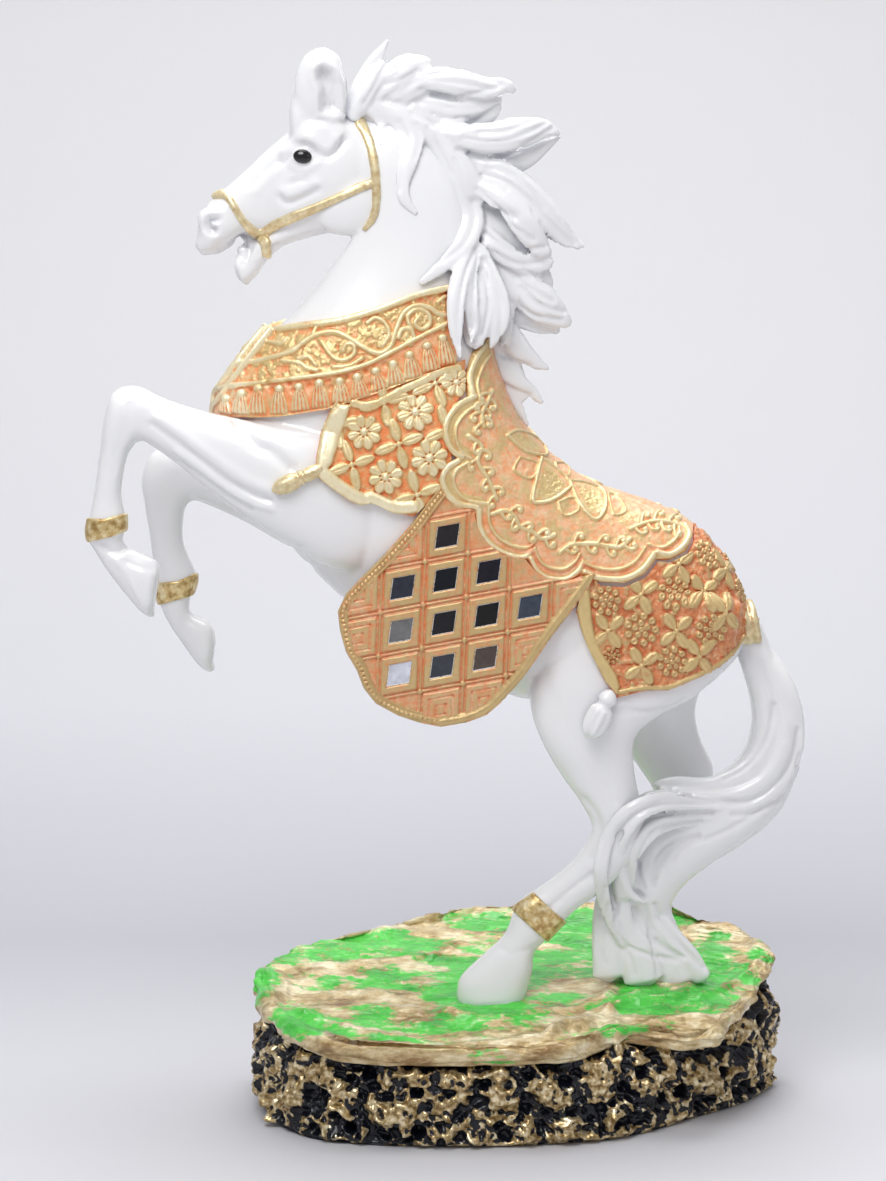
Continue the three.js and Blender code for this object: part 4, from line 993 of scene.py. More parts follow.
# Creases and ridges of the skin over the photograph: pixels, half width and height in millimetres
SKIN_LINES = [
    ([(280, 163), (288, 155), (298, 147), (308, 146), (318, 153), (328, 156), (337, 150),
     (343, 140)], 1.2, -1.7),
    ([(284, 152), (294, 141), (306, 138), (318, 144), (329, 147), (337, 140)], 2.2, 1.1),
    ([(290, 165), (298, 169), (308, 169), (318, 163)], 1.1, 0.5),
    ([(281, 198), (286, 203), (301, 198), (317, 190)], 1.4, -1.2),
    ([(283, 192), (291, 195), (303, 191), (316, 184)], 2.0, 0.7),
    ([(291, 182), (297, 181), (305, 179)], 0.9, -0.6),
    ([(250, 186), (263, 172), (278, 160)], 1.6, -0.5),
    ([(256, 192), (268, 180), (281, 168)], 1.6, 0.4),
    ([(216, 219), (210, 219), (208, 224), (210, 230), (214, 231)], 1.3, -3.2),
    ([(218, 214), (208, 213), (203, 221), (204, 232), (212, 237)], 1.2, 0.7),
    ([(203, 256), (217, 252), (229, 246), (238, 240), (246, 237)], 1.2, 0.8),
    ([(219, 245), (230, 238), (240, 232)], 1.6, -0.5),
    ([(240, 240), (246, 243), (247, 250), (243, 259)], 1.9, -2.8),
    ([(240, 246), (238, 256), (236, 268), (238, 278)], 1.2, 0.6),
    ([(273, 247), (292, 240), (310, 233), (326, 232)], 1.6, -0.6),
    ([(276, 245), (270, 252), (266, 262)], 1.0, -0.6),
    ([(152, 424), (175, 441), (199, 459), (226, 479), (250, 493), (270, 500)], 1.3, -1.3),
    ([(159, 419), (181, 434), (205, 452), (230, 470), (252, 483), (270, 490)], 2.0, 0.8),
    ([(176, 451), (199, 467), (226, 488), (252, 503), (272, 509)], 1.3, 0.7),
    ([(180, 462), (203, 478), (228, 496), (250, 508)], 1.2, -0.9),
    ([(236, 420), (246, 434), (258, 446), (272, 452), (290, 468)], 2.2, -1.6),
    ([(143, 447), (165, 462), (187, 477)], 1.5, -0.5),
    ([(300, 549), (309, 565), (322, 582), (340, 600)], 2.4, -0.8),
    ([(130, 405), (126, 425), (118, 445), (112, 470)], 2.0, -0.5),
    ([(102, 546), (112, 551), (122, 549), (128, 546)], 1.3, -1.3),
    ([(113, 560), (122, 568), (134, 588), (148, 611)], 0.9, 0.7),
    ([(126, 561), (138, 566), (152, 569)], 1.1, -0.5),
    ([(170, 611), (180, 609), (190, 610)], 1.2, -1.2),
    ([(196, 620), (208, 632), (211, 655)], 1.0, 0.5),
    ([(546, 911), (560, 899), (575, 886), (592, 874)], 1.2, -1.1),
    ([(541, 664), (552, 700), (572, 735), (596, 764)], 3.0, -0.6),
    ([(600, 700), (592, 740), (600, 775), (612, 800)], 3.0, -0.7),
    ([(585, 800), (596, 815), (600, 835), (592, 858)], 1.8, -0.8),
    ([(612, 795), (624, 815), (626, 835)], 1.8, 0.7),
    ([(622, 709), (645, 712), (666, 708), (684, 700)], 1.0, -0.7),
    ([(500, 948), (514, 954), (530, 949)], 1.2, -0.3),
]
EAR_CUP = [(314, 68), (323, 62), (334, 69), (341, 83), (344, 98), (346, 115), (331, 118), (318, 114),
           (317, 100), (318, 90), (313, 79)]
EAR_CUP_DEPTH = 3.6
EAR_CUP_SOFT = 9.0
EAR_RIM = 0.9
EAR_FOOT = 360
skin = furrowed(skin, skin_faces, SKIN_LINES, skin_tree)


def make_skin():
    """The skin with the cups of its ears hollowed out."""
    normals = normals_of(skin, skin_faces)
    in_cup, _ = signed_inside(seen(folded(skin)), EAR_CUP)
    outer_side = (folded_normals(skin, normals)[:, 1] < -0.05) & (skin[:, 2] > EAR_FOOT)
    cup = np.clip(in_cup / EAR_CUP_SOFT, 0, 1)
    hollow = EAR_CUP_DEPTH * cup * cup * (3 - 2 * cup) * (0.8 + 0.4 * rough(skin, 1.6, 2, 5))
    cupped = skin + normals * (outer_side * (EAR_RIM * bell(in_cup, 4) - hollow))[:, None]
    horse = mesh_object("horse_skin", cupped, skin_faces, WHITE)
    placed(horse, "white_gloss", "horse_body", "left_foreleg", "right_foreleg")


make_skin()

EYE = (302.5, 156.5)
EYE_OUT = 0.6
EYE_HALF_SIZES = (3.4, 2.6, 1.9)
EYE_TURN = -8
eye_depth = hit_of(skin_tree, *EYE)[0].y + EYE_OUT
placed_pair("eye", "_ball", blob(*EYE, eye_depth, *EYE_HALF_SIZES, EYE_TURN), EYE_BLACK, "eye_gloss")

# The mane: locks over the photograph, [pixel x, pixel y, depth y in mm, half width in pixels]
MANE_CORE = [
    [(348, 114, 0, 10), (380, 114, 0, 15), (420, 124, 0, 19), (450, 150, 0, 20), (470, 190, 0, 16),
     (480, 240, 0, 12), (487, 290, 0, 13), (493, 340, 0, 11), (508, 390, 0, 5)],
]
MANE_SHEETS = [
    [(352, 114, 0, 12), (392, 98, 0, 24), (440, 106, 0, 28), (478, 110, 0, 20), (498, 107, 0, 8)],
    [(400, 120, 0, 20), (452, 150, 0, 30), (496, 182, 0, 24), (526, 210, 0, 15), (556, 234, 0, 8)],
    [(460, 180, 0, 22), (490, 225, 0, 32), (515, 255, 0, 26), (536, 285, 0, 18), (546, 315, 0, 12)],
    [(478, 250, 0, 14), (500, 290, 0, 22), (520, 312, 0, 16), (545, 322, 0, 8)],
    [(478, 296, 0, 14), (497, 340, 0, 13), (513, 372, 0, 11), (524, 398, 0, 6)],
]
MANE_TOP = [
    [(352, 112, -4, 9), (358, 92, -5, 9), (370, 68, -5, 8), (380, 52, -5, 5.5), (388, 40, -4, 2)],
    [(352, 118, -6, 8), (366, 95, -8, 7.5), (378, 75, -8, 6), (386, 60, -7, 3)],
    [(360, 112, -3, 11), (383, 92, -5, 14), (402, 72, -6, 16), (417, 66, -5, 13), (429, 62, -4, 6)],
    [(372, 112, -3, 10), (398, 96, -5, 12), (430, 80, -6, 12), (460, 83, -6, 14), (485, 88, -5, 12),
     (505, 86, -4, 8), (515, 92, -3, 3)],
    [(385, 116, -1, 10), (420, 106, -3, 13), (450, 110, -3, 14), (478, 108, -2, 11), (501, 98, -1, 4)],
    [(412, 126, -3, 9), (455, 134, -6, 13), (490, 138, -7, 16), (520, 133, -6, 16), (545, 129, -4, 10),
     (560, 135, -3, 2)],
    [(430, 142, 1, 9), (490, 160, 0, 13), (520, 160, 0, 12), (545, 146, 0, 7), (560, 136, 0, 2)],
]
MANE_SIDE = [
    [(408, 110, 0.0, 9), (425, 128, 0.2, 12), (438, 150, 0.2, 13), (450, 172, 0.2, 10), (462, 184, 0.1, 7),
     (478, 188, 0, 3)],
    [(380, 104, 0.0, 9), (402, 118, 0.3, 12), (412, 138, 0.3, 12.5), (408, 160, 0.2, 11), (403, 182, 0.2, 8),
     (405, 200, 0.2, 6.5),
     (417, 214, 0.0, 3)],
    [(356, 104, 0.0, 6), (372, 110, 0.2, 7), (381, 124, 0.2, 6), (380, 146, 0.0, 2.5)],
    [(370, 100, 0.0, 7), (388, 112, 0.2, 8), (398, 128, 0.2, 6), (400, 148, 0.0, 2.5)],
    [(440, 140, 0.2, 12), (462, 176, 0.5, 16), (470, 212, 1.0, 16), (466, 240, 1.4, 12), (450, 259, 1.6, 9),
     (434, 273, 1.6, 6.5),
     (420, 284, 1.4, 3)],
    [(478, 246, 1, 8), (474, 285, 2.5, 19), (474, 318, 3.5, 18), (475, 345, 3.5, 9)],
    [(479, 243, 2, 5), (463, 268, 4, 9), (456, 298, 5, 10), (456, 330, 5, 8), (460, 358, 5, 2.5)],
    [(479, 245, 3, 5), (471, 275, 5, 8), (470, 305, 6, 9), (473, 325, 6, 7), (471, 343, 6, 2.5)],
    [(480, 246, 3, 5), (481, 280, 6, 8), (485, 305, 7, 10), (486, 325, 7, 8), (481, 342, 7, 2.5)],
    [(482, 246, 3, 5), (491, 275, 5, 9), (499, 300, 6, 11), (499, 325, 7, 10), (490, 348, 7, 2.5)],
]
MANE_FAN = [
    [(462, 158, -3, 14), (500, 176, -5, 16), (525, 194, -6, 17), (548, 218, -5, 15), (566, 237, -3, 11),
     (584, 247, -2, 3)],
    [(474, 186, -6, 10), (500, 200, -9, 12), (522, 222, -9, 14), (538, 245, -7, 12), (553, 263, -5, 3)],
    [(480, 222, -4, 8), (495, 245, -6, 12), (515, 260, -6, 12), (535, 266, -5, 9), (552, 266, -4, 3)],
    [(492, 252, -1, 10), (518, 282, -3, 19), (540, 303, -4, 20), (556, 315, -3, 15), (570, 324, -2, 5)],
    [(496, 270, 2, 8), (514, 305, 0, 15), (535, 322, 0, 12), (558, 331, 0, 5)],
    [(486, 250, -4, 5), (503, 280, -5, 8), (508, 305, -6, 8), (506, 330, -6, 7), (500, 348, -6, 3)],
    [(492, 290, 0, 9), (502, 320, -2, 12), (514, 343, -3, 13), (532, 360, -2, 9), (549, 369, -1, 3)],
    [(486, 340, 0, 8), (502, 368, -1, 12), (520, 385, -1, 10), (533, 393, 0, 7), (542, 403, 0, 3)],
    [(498, 375, 1, 8), (514, 400, 0, 8), (527, 426, 0, 3)],
]
HAIR_VOXEL = 0.8
# Furrows of the hair over the photograph: pixels, half width and height in millimetres
MANE_LINES = [
    ([(476, 201), (490, 209), (514, 217)], 1.8, -1.4),
    ([(517, 277), (533, 290), (553, 301)], 0.9, -0.9),
    ([(522, 287), (539, 304), (565, 312)], 0.9, -0.9),
    ([(511, 301), (533, 315), (562, 320)], 0.9, -0.9),
    ([(512, 318), (530, 328), (552, 333)], 0.9, -0.8),
    ([(524, 270), (542, 280), (556, 288)], 0.9, -0.7),
    ([(428, 74), (448, 72), (469, 73), (503, 84)], 1.0, -0.8),
    ([(421, 90), (440, 95), (463, 96), (497, 88)], 1.1, -0.9),
    ([(430, 80), (460, 84), (490, 88)], 1.0, -0.6),
    ([(390, 70), (404, 62), (420, 58)], 1.0, -0.7),
    ([(386, 84), (400, 80), (418, 70)], 1.0, -0.7),
    ([(364, 104), (376, 84), (386, 62)], 1.0, -0.8),
    ([(413, 113), (441, 124), (469, 124), (497, 107)], 1.1, -0.9),
    ([(384, 100), (402, 104), (422, 112), (436, 124)], 1.0, -0.7),
    ([(458, 150), (480, 156), (505, 156), (530, 142), (553, 128)], 1.0, -0.9),
    ([(463, 138), (490, 142), (515, 138), (545, 124)], 1.0, -0.9),
    ([(480, 132), (506, 130), (530, 122)], 1.0, -0.7),
    ([(477, 190), (495, 205), (512, 226), (533, 240)], 1.0, -0.8),
    ([(483, 174), (510, 184), (535, 204), (553, 226), (574, 244)], 1.0, -0.9),
    ([(488, 168), (512, 174), (530, 190), (544, 208)], 1.0, -0.7),
    ([(494, 252), (510, 262), (530, 264), (553, 257)], 1.1, -0.9),
    ([(484, 232), (500, 244), (520, 250), (545, 247)], 1.0, -0.8),
    ([(477, 248), (466, 273), (458, 315), (460, 345)], 0.9, -0.8),
    ([(479, 253), (475, 287), (470, 329)], 0.9, -0.9),
    ([(483, 259), (489, 301), (484, 334)], 0.9, -0.9),
    ([(486, 259), (500, 301), (500, 340)], 0.9, -0.8),
    ([(400, 122), (407, 142), (402, 165), (399, 190)], 1.0, -0.6),
    ([(416, 124), (420, 140), (416, 158)], 1.0, -0.5),
    ([(428, 128), (440, 152), (452, 174)], 1.0, -0.6),
    ([(455, 160), (468, 190), (474, 220), (462, 246), (440, 262)], 1.2, -0.6),
    ([(492, 350), (508, 358), (530, 366)], 1.0, -0.8),
    ([(496, 380), (510, 388), (530, 396)], 1.0, -0.8),
]


def laid(path, tree):
    """Rows of a lock laid on a surface, their third number read as the lift above it in millimetres."""
    rows = []
    for px, py, lift, half in path:
        hit = hit_of(tree, px, py)[0]
        rows.append((px, py, (hit.y if hit is not None and hit.y < 0 else -6.0) - lift, half))
    return rows


def make_hair(name, node, parts, lines):
    """Locks melted together, with furrows along them."""
    hair, faces = melted(parts, HAIR_VOXEL, *HAIR_RELAX)
    hair = furrowed(hair, faces, lines, tree_of(hair, faces))
    placed(mesh_object(name, hair, faces, WHITE), "white_gloss", node)


def mane_parts():
    """The core and the sheets once, the loose locks on both sides."""
    core = [lock(path, thick=1.1, strands=1, groove=0.0, steps=40) for path in MANE_CORE]
    core += [lock(path, thick=0.42, strands=1, groove=0.0) for path in MANE_SHEETS]
    loose = [lock(path, thick=0.6, strands=4, groove=0.25) for path in MANE_TOP]
    loose += [lock(path, thick=0.45, strands=5, groove=0.3) for path in MANE_FAN]
    loose += [lock(laid(path, skin_tree), thick=0.42, strands=2, groove=0.15) for path in MANE_SIDE]
    return core + loose + [flipped(part) for part in loose]


make_hair("mane_hair", "mane", mane_parts(), MANE_LINES)

# The tail: its body, and strands laid along it
TAIL_STRANDS = [
    [(752, 636, 0, 8), (780, 680, -4, 12), (793, 725, -5, 12), (788, 765, -6, 11), (765, 795, -8, 10),
     (735, 812, -9, 9),
     (700, 811, -10, 8), (660, 809, -12, 8), (632, 823, -13, 8), (614, 850, -13, 9), (612, 878, -13, 9),
     (628, 900, -13, 7),
     (645, 908, -13, 3)],
    [(748, 640, 0, 7), (763, 680, -4, 13), (770, 725, -6, 14), (760, 757, -7, 12), (738, 775, -8, 10),
     (708, 785, -8, 9),
     (675, 783, -8, 8), (655, 784, -8, 4)],
    [(756, 650, 0, 8), (782, 710, -6, 10), (781, 752, -8, 9), (762, 782, -9, 8), (728, 797, -10, 8),
     (690, 797, -11, 8),
     (650, 797, -11, 7), (625, 812, -11, 5)],
    [(795, 765, 0, 6), (770, 805, 0, 12), (735, 830, -1, 17), (700, 848, -2, 19), (668, 860, -3, 18),
     (650, 880, -4, 14)],
    [(733, 806, -10, 5), (700, 801, -14, 6), (668, 798, -22, 7), (645, 802, -28, 7), (624, 815, -29, 8),
     (608, 838, -27, 8),
     (601, 866, -28, 8), (602, 890, -24, 8), (609, 918, -19, 7), (626, 945, -16, 5)],
    [(618, 870, -17, 12), (620, 905, -15, 13), (624, 940, -14, 12)],
    [(725, 818, -10, 8), (688, 816, -15, 11), (655, 824, -23, 13), (636, 842, -24, 13), (625, 866, -21, 13),
     (625, 895, -17, 12)],
    [(733, 810, -10, 3), (700, 808, -16, 4), (668, 807, -24, 5), (646, 814, -29, 5), (630, 830, -29, 5),
     (621, 852, -26, 5),
     (622, 876, -22, 5), (632, 895, -19, 5), (646, 904, -18, 3)],
    [(612, 875, -10, 8), (605, 905, -12, 11), (605, 930, -13, 14), (607, 952, -13, 17), (609, 974, -13, 18)],
    [(635, 880, -10, 10), (630, 915, -12, 15), (636, 945, -13, 19), (644, 978, -13, 23)],
    [(652, 880, -6, 10), (655, 910, -9, 15), (666, 945, -10, 20), (677, 980, -10, 23)],
    [(645, 900, -10, 8), (664, 928, -12, 11), (688, 956, -12, 12), (702, 978, -12, 11)],
]
TAIL_LINES = [
    ([(774, 705), (770, 730), (760, 750), (744, 769), (723, 780)], 1.1, -1.1),
    ([(798, 730), (794, 755), (778, 782), (749, 801), (703, 799), (672, 790)], 1.1, -1.2),
    ([(800, 755), (788, 792), (756, 812), (733, 815)], 1.1, -1.1),
    ([(713, 813), (683, 813), (650, 818), (634, 836), (627, 860), (632, 884), (642, 896)], 0.9, -1.1),
    ([(700, 822), (660, 828), (644, 846), (638, 868), (644, 888)], 0.9, -0.9),
    ([(716, 804), (684, 803), (650, 807), (625, 824), (612, 850), (609, 880), (615, 905)], 0.8, -0.9),
    ([(700, 836), (672, 842), (656, 858), (654, 880)], 1.1, -1.0),
    ([(760, 662), (774, 700), (784, 740)], 1.0, -0.7),
    ([(618, 905), (616, 925), (626, 945), (650, 955), (676, 960)], 1.0, -1.0),
    ([(634, 908), (640, 925), (660, 945), (684, 958)], 1.0, -1.0),
    ([(608, 905), (602, 930), (603, 955)], 0.9, -0.8),
    ([(655, 905), (668, 930), (688, 953), (704, 968)], 1.0, -1.0),
    ([(645, 905), (650, 930), (656, 960), (658, 975)], 0.9, -0.8),
    ([(700, 838), (676, 846), (661, 862), (655, 885)], 1.0, -0.9),
    ([(760, 812), (725, 832), (690, 846), (676, 858)], 1.2, -0.8),
    ([(626, 950), (632, 962), (634, 974)], 1.0, -0.8),
    ([(606, 888), (599, 915), (598, 945), (604, 964)], 1.0, -0.9),
]
TAIL_PARTS = [rail_loft(TAIL, ends=(4, 0), fullness=2.4)]
TAIL_PARTS += [lock(path, thick=0.6, strands=2, groove=0.18, steps=50) for path in TAIL_STRANDS]
make_hair("tail_hair", "tail", TAIL_PARTS, TAIL_LINES)

# What the moulded cloth lies on, without details: the trunk alone, and the whole horse
CLOTH_VOXEL = 1.4
CLOTH = 1.6
trunk_base = melted([BARE_NECK, BARE_TRUNK], CLOTH_VOXEL, *BARE_RELAX)
trunk_tree = tree_of(*trunk_base)
horse_base = melted(SHARED, CLOTH_VOXEL, *BARE_RELAX)
horse_tree = tree_of(*horse_base)

# The neck collar over the photograph, in pixels
COLLAR_TOP = [(264, 334), (301, 326), (338, 320), (375, 309), (412, 294), (434, 288), (455, 283)]
COLLAR_FOOT = [(455, 366), (449, 369), (412, 380), (384, 391), (356, 400), (327, 409), (282, 416),
               (253, 417), (210, 415)]
COLLAR_EDGE = [(170, 352)] + COLLAR_TOP + COLLAR_FOOT + [(170, 415)]
COLLAR_WAIST = [(222, 392), (250, 386), (282, 381), (319, 376), (347, 371), (375, 361), (412, 341),
                (452, 320)]
VINE = [(244, 368), (268, 361), (294, 353), (308, 342), (323, 335), (338, 334), (353, 341), (364, 348),
        (379, 354), (390, 347), (396, 330), (404, 313), (416, 306), (428, 308), (437, 314), (450, 316)]
VINE_CURLS = [
    [(288, 354), (302, 347), (312, 340), (318, 330)],
    [(323, 343), (333, 357), (344, 361), (354, 355), (354, 346), (347, 345), (344, 351)],
    [(368, 324), (376, 319), (385, 324), (389, 335), (383, 346)],
    [(398, 338), (402, 330), (410, 330), (413, 337)],
    [(411, 330), (407, 318), (416, 310), (427, 314), (428, 325), (420, 330), (414, 324), (418, 318)],
    [(284, 362), (300, 364), (309, 369), (318, 371)],
    [(300, 360), (310, 358), (317, 366)],
    [(262, 350), (272, 345), (284, 346), (290, 341)],
    [(248, 356), (256, 350), (262, 342)],
    [(334, 368), (350, 366), (362, 359)],
    [(436, 303), (443, 297), (449, 300), (446, 306)],
]
COLLAR_LEAVES = [(271, 372, 20), (292, 371, 5), (306, 350, -30), (330, 350, 40), (341, 346, -20),
                 (363, 336, 60), (372, 333, 10), (380, 340, -40), (405, 341, 20), (437, 325, 15),
                 (443, 306, 50), (280, 344, 20), (256, 366, 30), (262, 375, -10)]
TASSEL_TOPS = [(233, 397), (247, 392), (261, 387), (281, 387), (300, 385), (320, 381), (340, 379),
               (357, 375), (375, 369), (392, 362), (408, 353), (425, 344), (440, 336)]
TASSEL_FEET = [(231, 413), (245, 414), (260, 414), (281, 414), (302, 411), (322, 408), (342, 403),
               (361, 398), (380, 391), (396, 385), (413, 379), (431, 372), (446, 366)]
COLLAR_PITS = [(270, 384), (273, 389), (291, 384), (294, 390), (329, 381), (331, 387), (347, 377),
               (371, 385), (310, 386), (253, 391), (366, 371), (384, 364)]
COLLAR_FRONT = [(208, 414), (230, 384), (256, 350), (268, 336)]
COLLAR_FLOWERS = ((420, 320), (383, 334), (300, 372))
# The crust on the cloths' ground: size, octaves, seed; then the lumps' level, and how high the crust stands
COLLAR_CRUST, COLLAR_CRUST_LEVEL, COLLAR_CRUST_HIGH = (1.9, 2, 15), 0.42, 0.55
BELOW_WAIST = [(150, 392)] + COLLAR_WAIST + [(470, 500), (150, 500)]
COLLAR_RIM = [(px, py + 3) for px, py in [(240, 340)] + COLLAR_TOP]
# The collar's front stands out: how far in millimetres, and from where to where across the photograph
COLLAR_BULGE = 1.4
BULGE_TIP, BULGE_TIP_FULL, BULGE_FULL, BULGE_END = 205, 208, 243, 265


def make_collar():
    """A band of scrolls on a crumpled ground over a row of tassels."""
    relief = Relief(trunk_base, [COLLAR_EDGE], trunk_tree)
    below = signed_inside(relief.flat, BELOW_WAIST)[0] > 0
    crust = rough(relief.folded, *COLLAR_CRUST) - COLLAR_CRUST_LEVEL
    relief.height = np.where(below, 0.0, COLLAR_CRUST_HIGH * np.clip(crust / 0.3, 0, 1))
    relief.gold = np.where(below, 0.3, 0.45 + 1.6 * np.clip(crust, 0, 0.3))
    relief.line(VINE, 1.1, 1.3)
    for curl in VINE_CURLS:
        relief.line(curl, 0.95, 1.15)
    for px, py, angle in COLLAR_LEAVES:
        relief.leaves(px, py, 3.2, 1.1, 0.75, (angle, angle + 55, angle - 55), 0.15, 0.9)
    for px, py in COLLAR_FLOWERS:
        relief.daisy(px, py, 2.6, 0.8, 6)
    relief.line(COLLAR_WAIST, 0.95, 1.35)
    for top, foot in zip(TASSEL_TOPS, TASSEL_FEET):
        relief.hanging_tassel(top, foot, 1.5)
    for px, py in COLLAR_PITS:
        relief.pit(px, py, 1.0, 1.1)
    relief.line(COLLAR_RIM, 1.5, 1.7, sharp=2.6)
    across = relief.flat[:, 0]
    bulge = ramped(-across, -BULGE_END, -BULGE_FULL) * ramped(across, BULGE_TIP, BULGE_TIP_FULL)
    relief.height += COLLAR_BULGE * bulge**2
    for shift in (2, 9):
        relief.line([(px + shift, py) for px, py in COLLAR_FRONT], 1.0, 3.2, 0.9)
    relief.line(COLLAR_FOOT, 0.7, 0.7, 0.6)
    return relief.object("collar_relief", COLLAR_PAINT, CLOTH)


# The chest panel over the photograph
PANEL_EDGE = [(336, 402), (330, 411), (320, 436), (316, 458), (315, 473), (322, 481), (334, 490), (345, 498),
              (352, 502), (360, 504),
              (372, 502), (380, 504), (392, 511), (414, 516), (434, 496), (447, 480), (451, 458), (446, 430),
              (450, 408),
              (462, 396), (463, 360), (412, 379), (356, 398)]
PANEL_LEFT = [(330, 412), (320, 438), (316, 460), (315, 474), (321, 477), (332, 464), (338, 445), (345, 425),
              (352, 404), (340, 403)]
PANEL_FOOT = [
    [(322, 472), (336, 484), (350, 493), (362, 498), (372, 496)],
    [(374, 497), (386, 503), (400, 507), (413, 506)],
]
PANEL_TOP = [
    [(354, 403), (366, 405), (378, 403)],
    [(381, 401), (391, 396), (399, 391)],
    [(404, 389), (422, 381), (440, 372), (456, 369)],
]
PANEL_DAISIES = [(365, 432, 6.5), (415, 413, 6.7), (429, 458, 6.7), (386, 476, 6.4), (454, 384, 5.6)]
PANEL_CROSSES = [(399, 444, 20), (351, 465, 20), (384, 402, 15), (434, 384, 25), (447, 430, 25),
                 (417, 494, 20), (338, 424, 10)]


def make_panel():
    """Daisies and crossed leaves inside a broad rim."""
    relief = Relief(horse_base, [PANEL_EDGE], horse_tree)
    relief.gold[:] = 0.36
    for px, py, radius in PANEL_DAISIES:
        relief.daisy(px, py, radius, 1.5)
    for px, py, turn in PANEL_CROSSES:
        relief.leaves(px, py, 9.2, 2.1, 1.2, (turn, turn + 85, turn + 180, turn + 265), 0.25, 0.85)
    relief.plate(PANEL_LEFT, 2.0, 2.2)
    for line in PANEL_FOOT:
        relief.line(line, 2.5, 1.9, sharp=3)
    for line in PANEL_TOP:
        relief.line(line, 1.6, 1.2, sharp=3)
    return relief.object("chest_relief", PANEL_PAINT, CLOTH)


# The saddle cloth over the photograph: its lobes, scrolls and seat motifs
SADDLE_LOBES = [
    [(480, 346), (472, 360), (467, 378), (470, 395)],
    [(472, 398), (457, 406), (446, 421), (445, 437), (451, 450), (460, 457)],
    [(457, 461), (446, 468), (442, 480), (447, 493), (458, 503), (476, 507)],
    [(478, 510), (479, 526), (488, 542), (504, 553), (522, 557), (530, 551)],
    [(530, 558), (537, 571), (549, 578), (564, 579), (576, 572), (581, 565)],
    [(584, 572), (600, 578), (622, 579), (640, 571), (652, 556)],
    [(656, 553), (668, 556), (680, 549), (686, 538), (682, 529)],
]
SADDLE_EDGE = (
    [(497, 330), (483, 340), (472, 352)]
    + [(463, 378), (467, 397), (452, 405), (442, 421), (441, 438), (448, 452), (456, 458)]
    + [(443, 465), (438, 480), (443, 495), (455, 507), (473, 511), (475, 528), (485, 546), (502, 557),
       (523, 561)]
    + [(533, 575), (547, 582), (566, 583), (579, 577), (583, 576)]
    + [(600, 582), (624, 583), (643, 575), (655, 560), (669, 560), (684, 552), (690, 538), (690, 528),
       (704, 520)]
    + [(722, 520), (722, 440), (560, 380), (520, 330)]
)
SADDLE_VINES = [
    [(488, 392), (484, 403), (479, 415), (481, 428)],
    [(467, 437), (479, 447), (476, 462), (485, 477), (492, 492), (495, 500)],
    [(491, 514), (503, 511), (513, 516), (519, 527), (531, 532), (541, 539), (553, 536)],
    [(559, 553), (569, 546), (588, 545), (604, 547), (618, 549), (629, 541)],
    [(629, 532), (640, 528), (652, 525), (666, 526), (676, 530)],
]
SEAT_PLATES = [
    [(538, 461), (534, 480), (531, 501), (540, 504), (552, 501), (563, 494), (568, 487), (553, 472)],
    [(567, 484), (574, 500), (583, 513), (594, 522), (602, 515), (604, 503), (599, 493), (583, 487)],
    [(504, 437), (513, 433), (526, 437), (538, 446), (543, 458), (529, 456), (516, 449)],
]
SEAT_BOXES = [
    [(556, 504), (563, 517), (577, 512), (571, 500)],
    [(517, 459), (512, 472), (529, 480), (534, 466)],
    [(606, 498), (614, 500), (624, 514), (612, 517)],
    [(552, 466), (556, 476), (566, 479), (564, 468)],
]
BACK_STRAP = [(598, 487), (612, 488), (636, 497), (662, 509), (640, 509), (616, 501)]
WIDE_LOBES = 3
SADDLE_MIDDLE = np.array([560, 480])
SADDLE_GOLD = 0.42
SADDLE_CRUST, SEAT_STIPPLE = (1.7, 3, 25), (0.9, 2, 35)
# How far the inner line, the filling and the groove of a lobe lie from it, in pixels
LOBE_LINE_IN, LOBE_FILL_IN, LOBE_GROOVE_IN = 10.5, 19, 6
# A curl of the vines: pixels to the side and ahead
CURL = ((0, 0), (4.5, 1.5), (8.5, 5), (8, 9.5), (4.6, 9.5))
CURL_BALL = (5.6, 8)


def drawn_in(line, distance):
    """A line moved that many pixels towards the middle of the saddle."""
    return [p + distance * unit(SADDLE_MIDDLE - p) for p in np.array(line, float)]


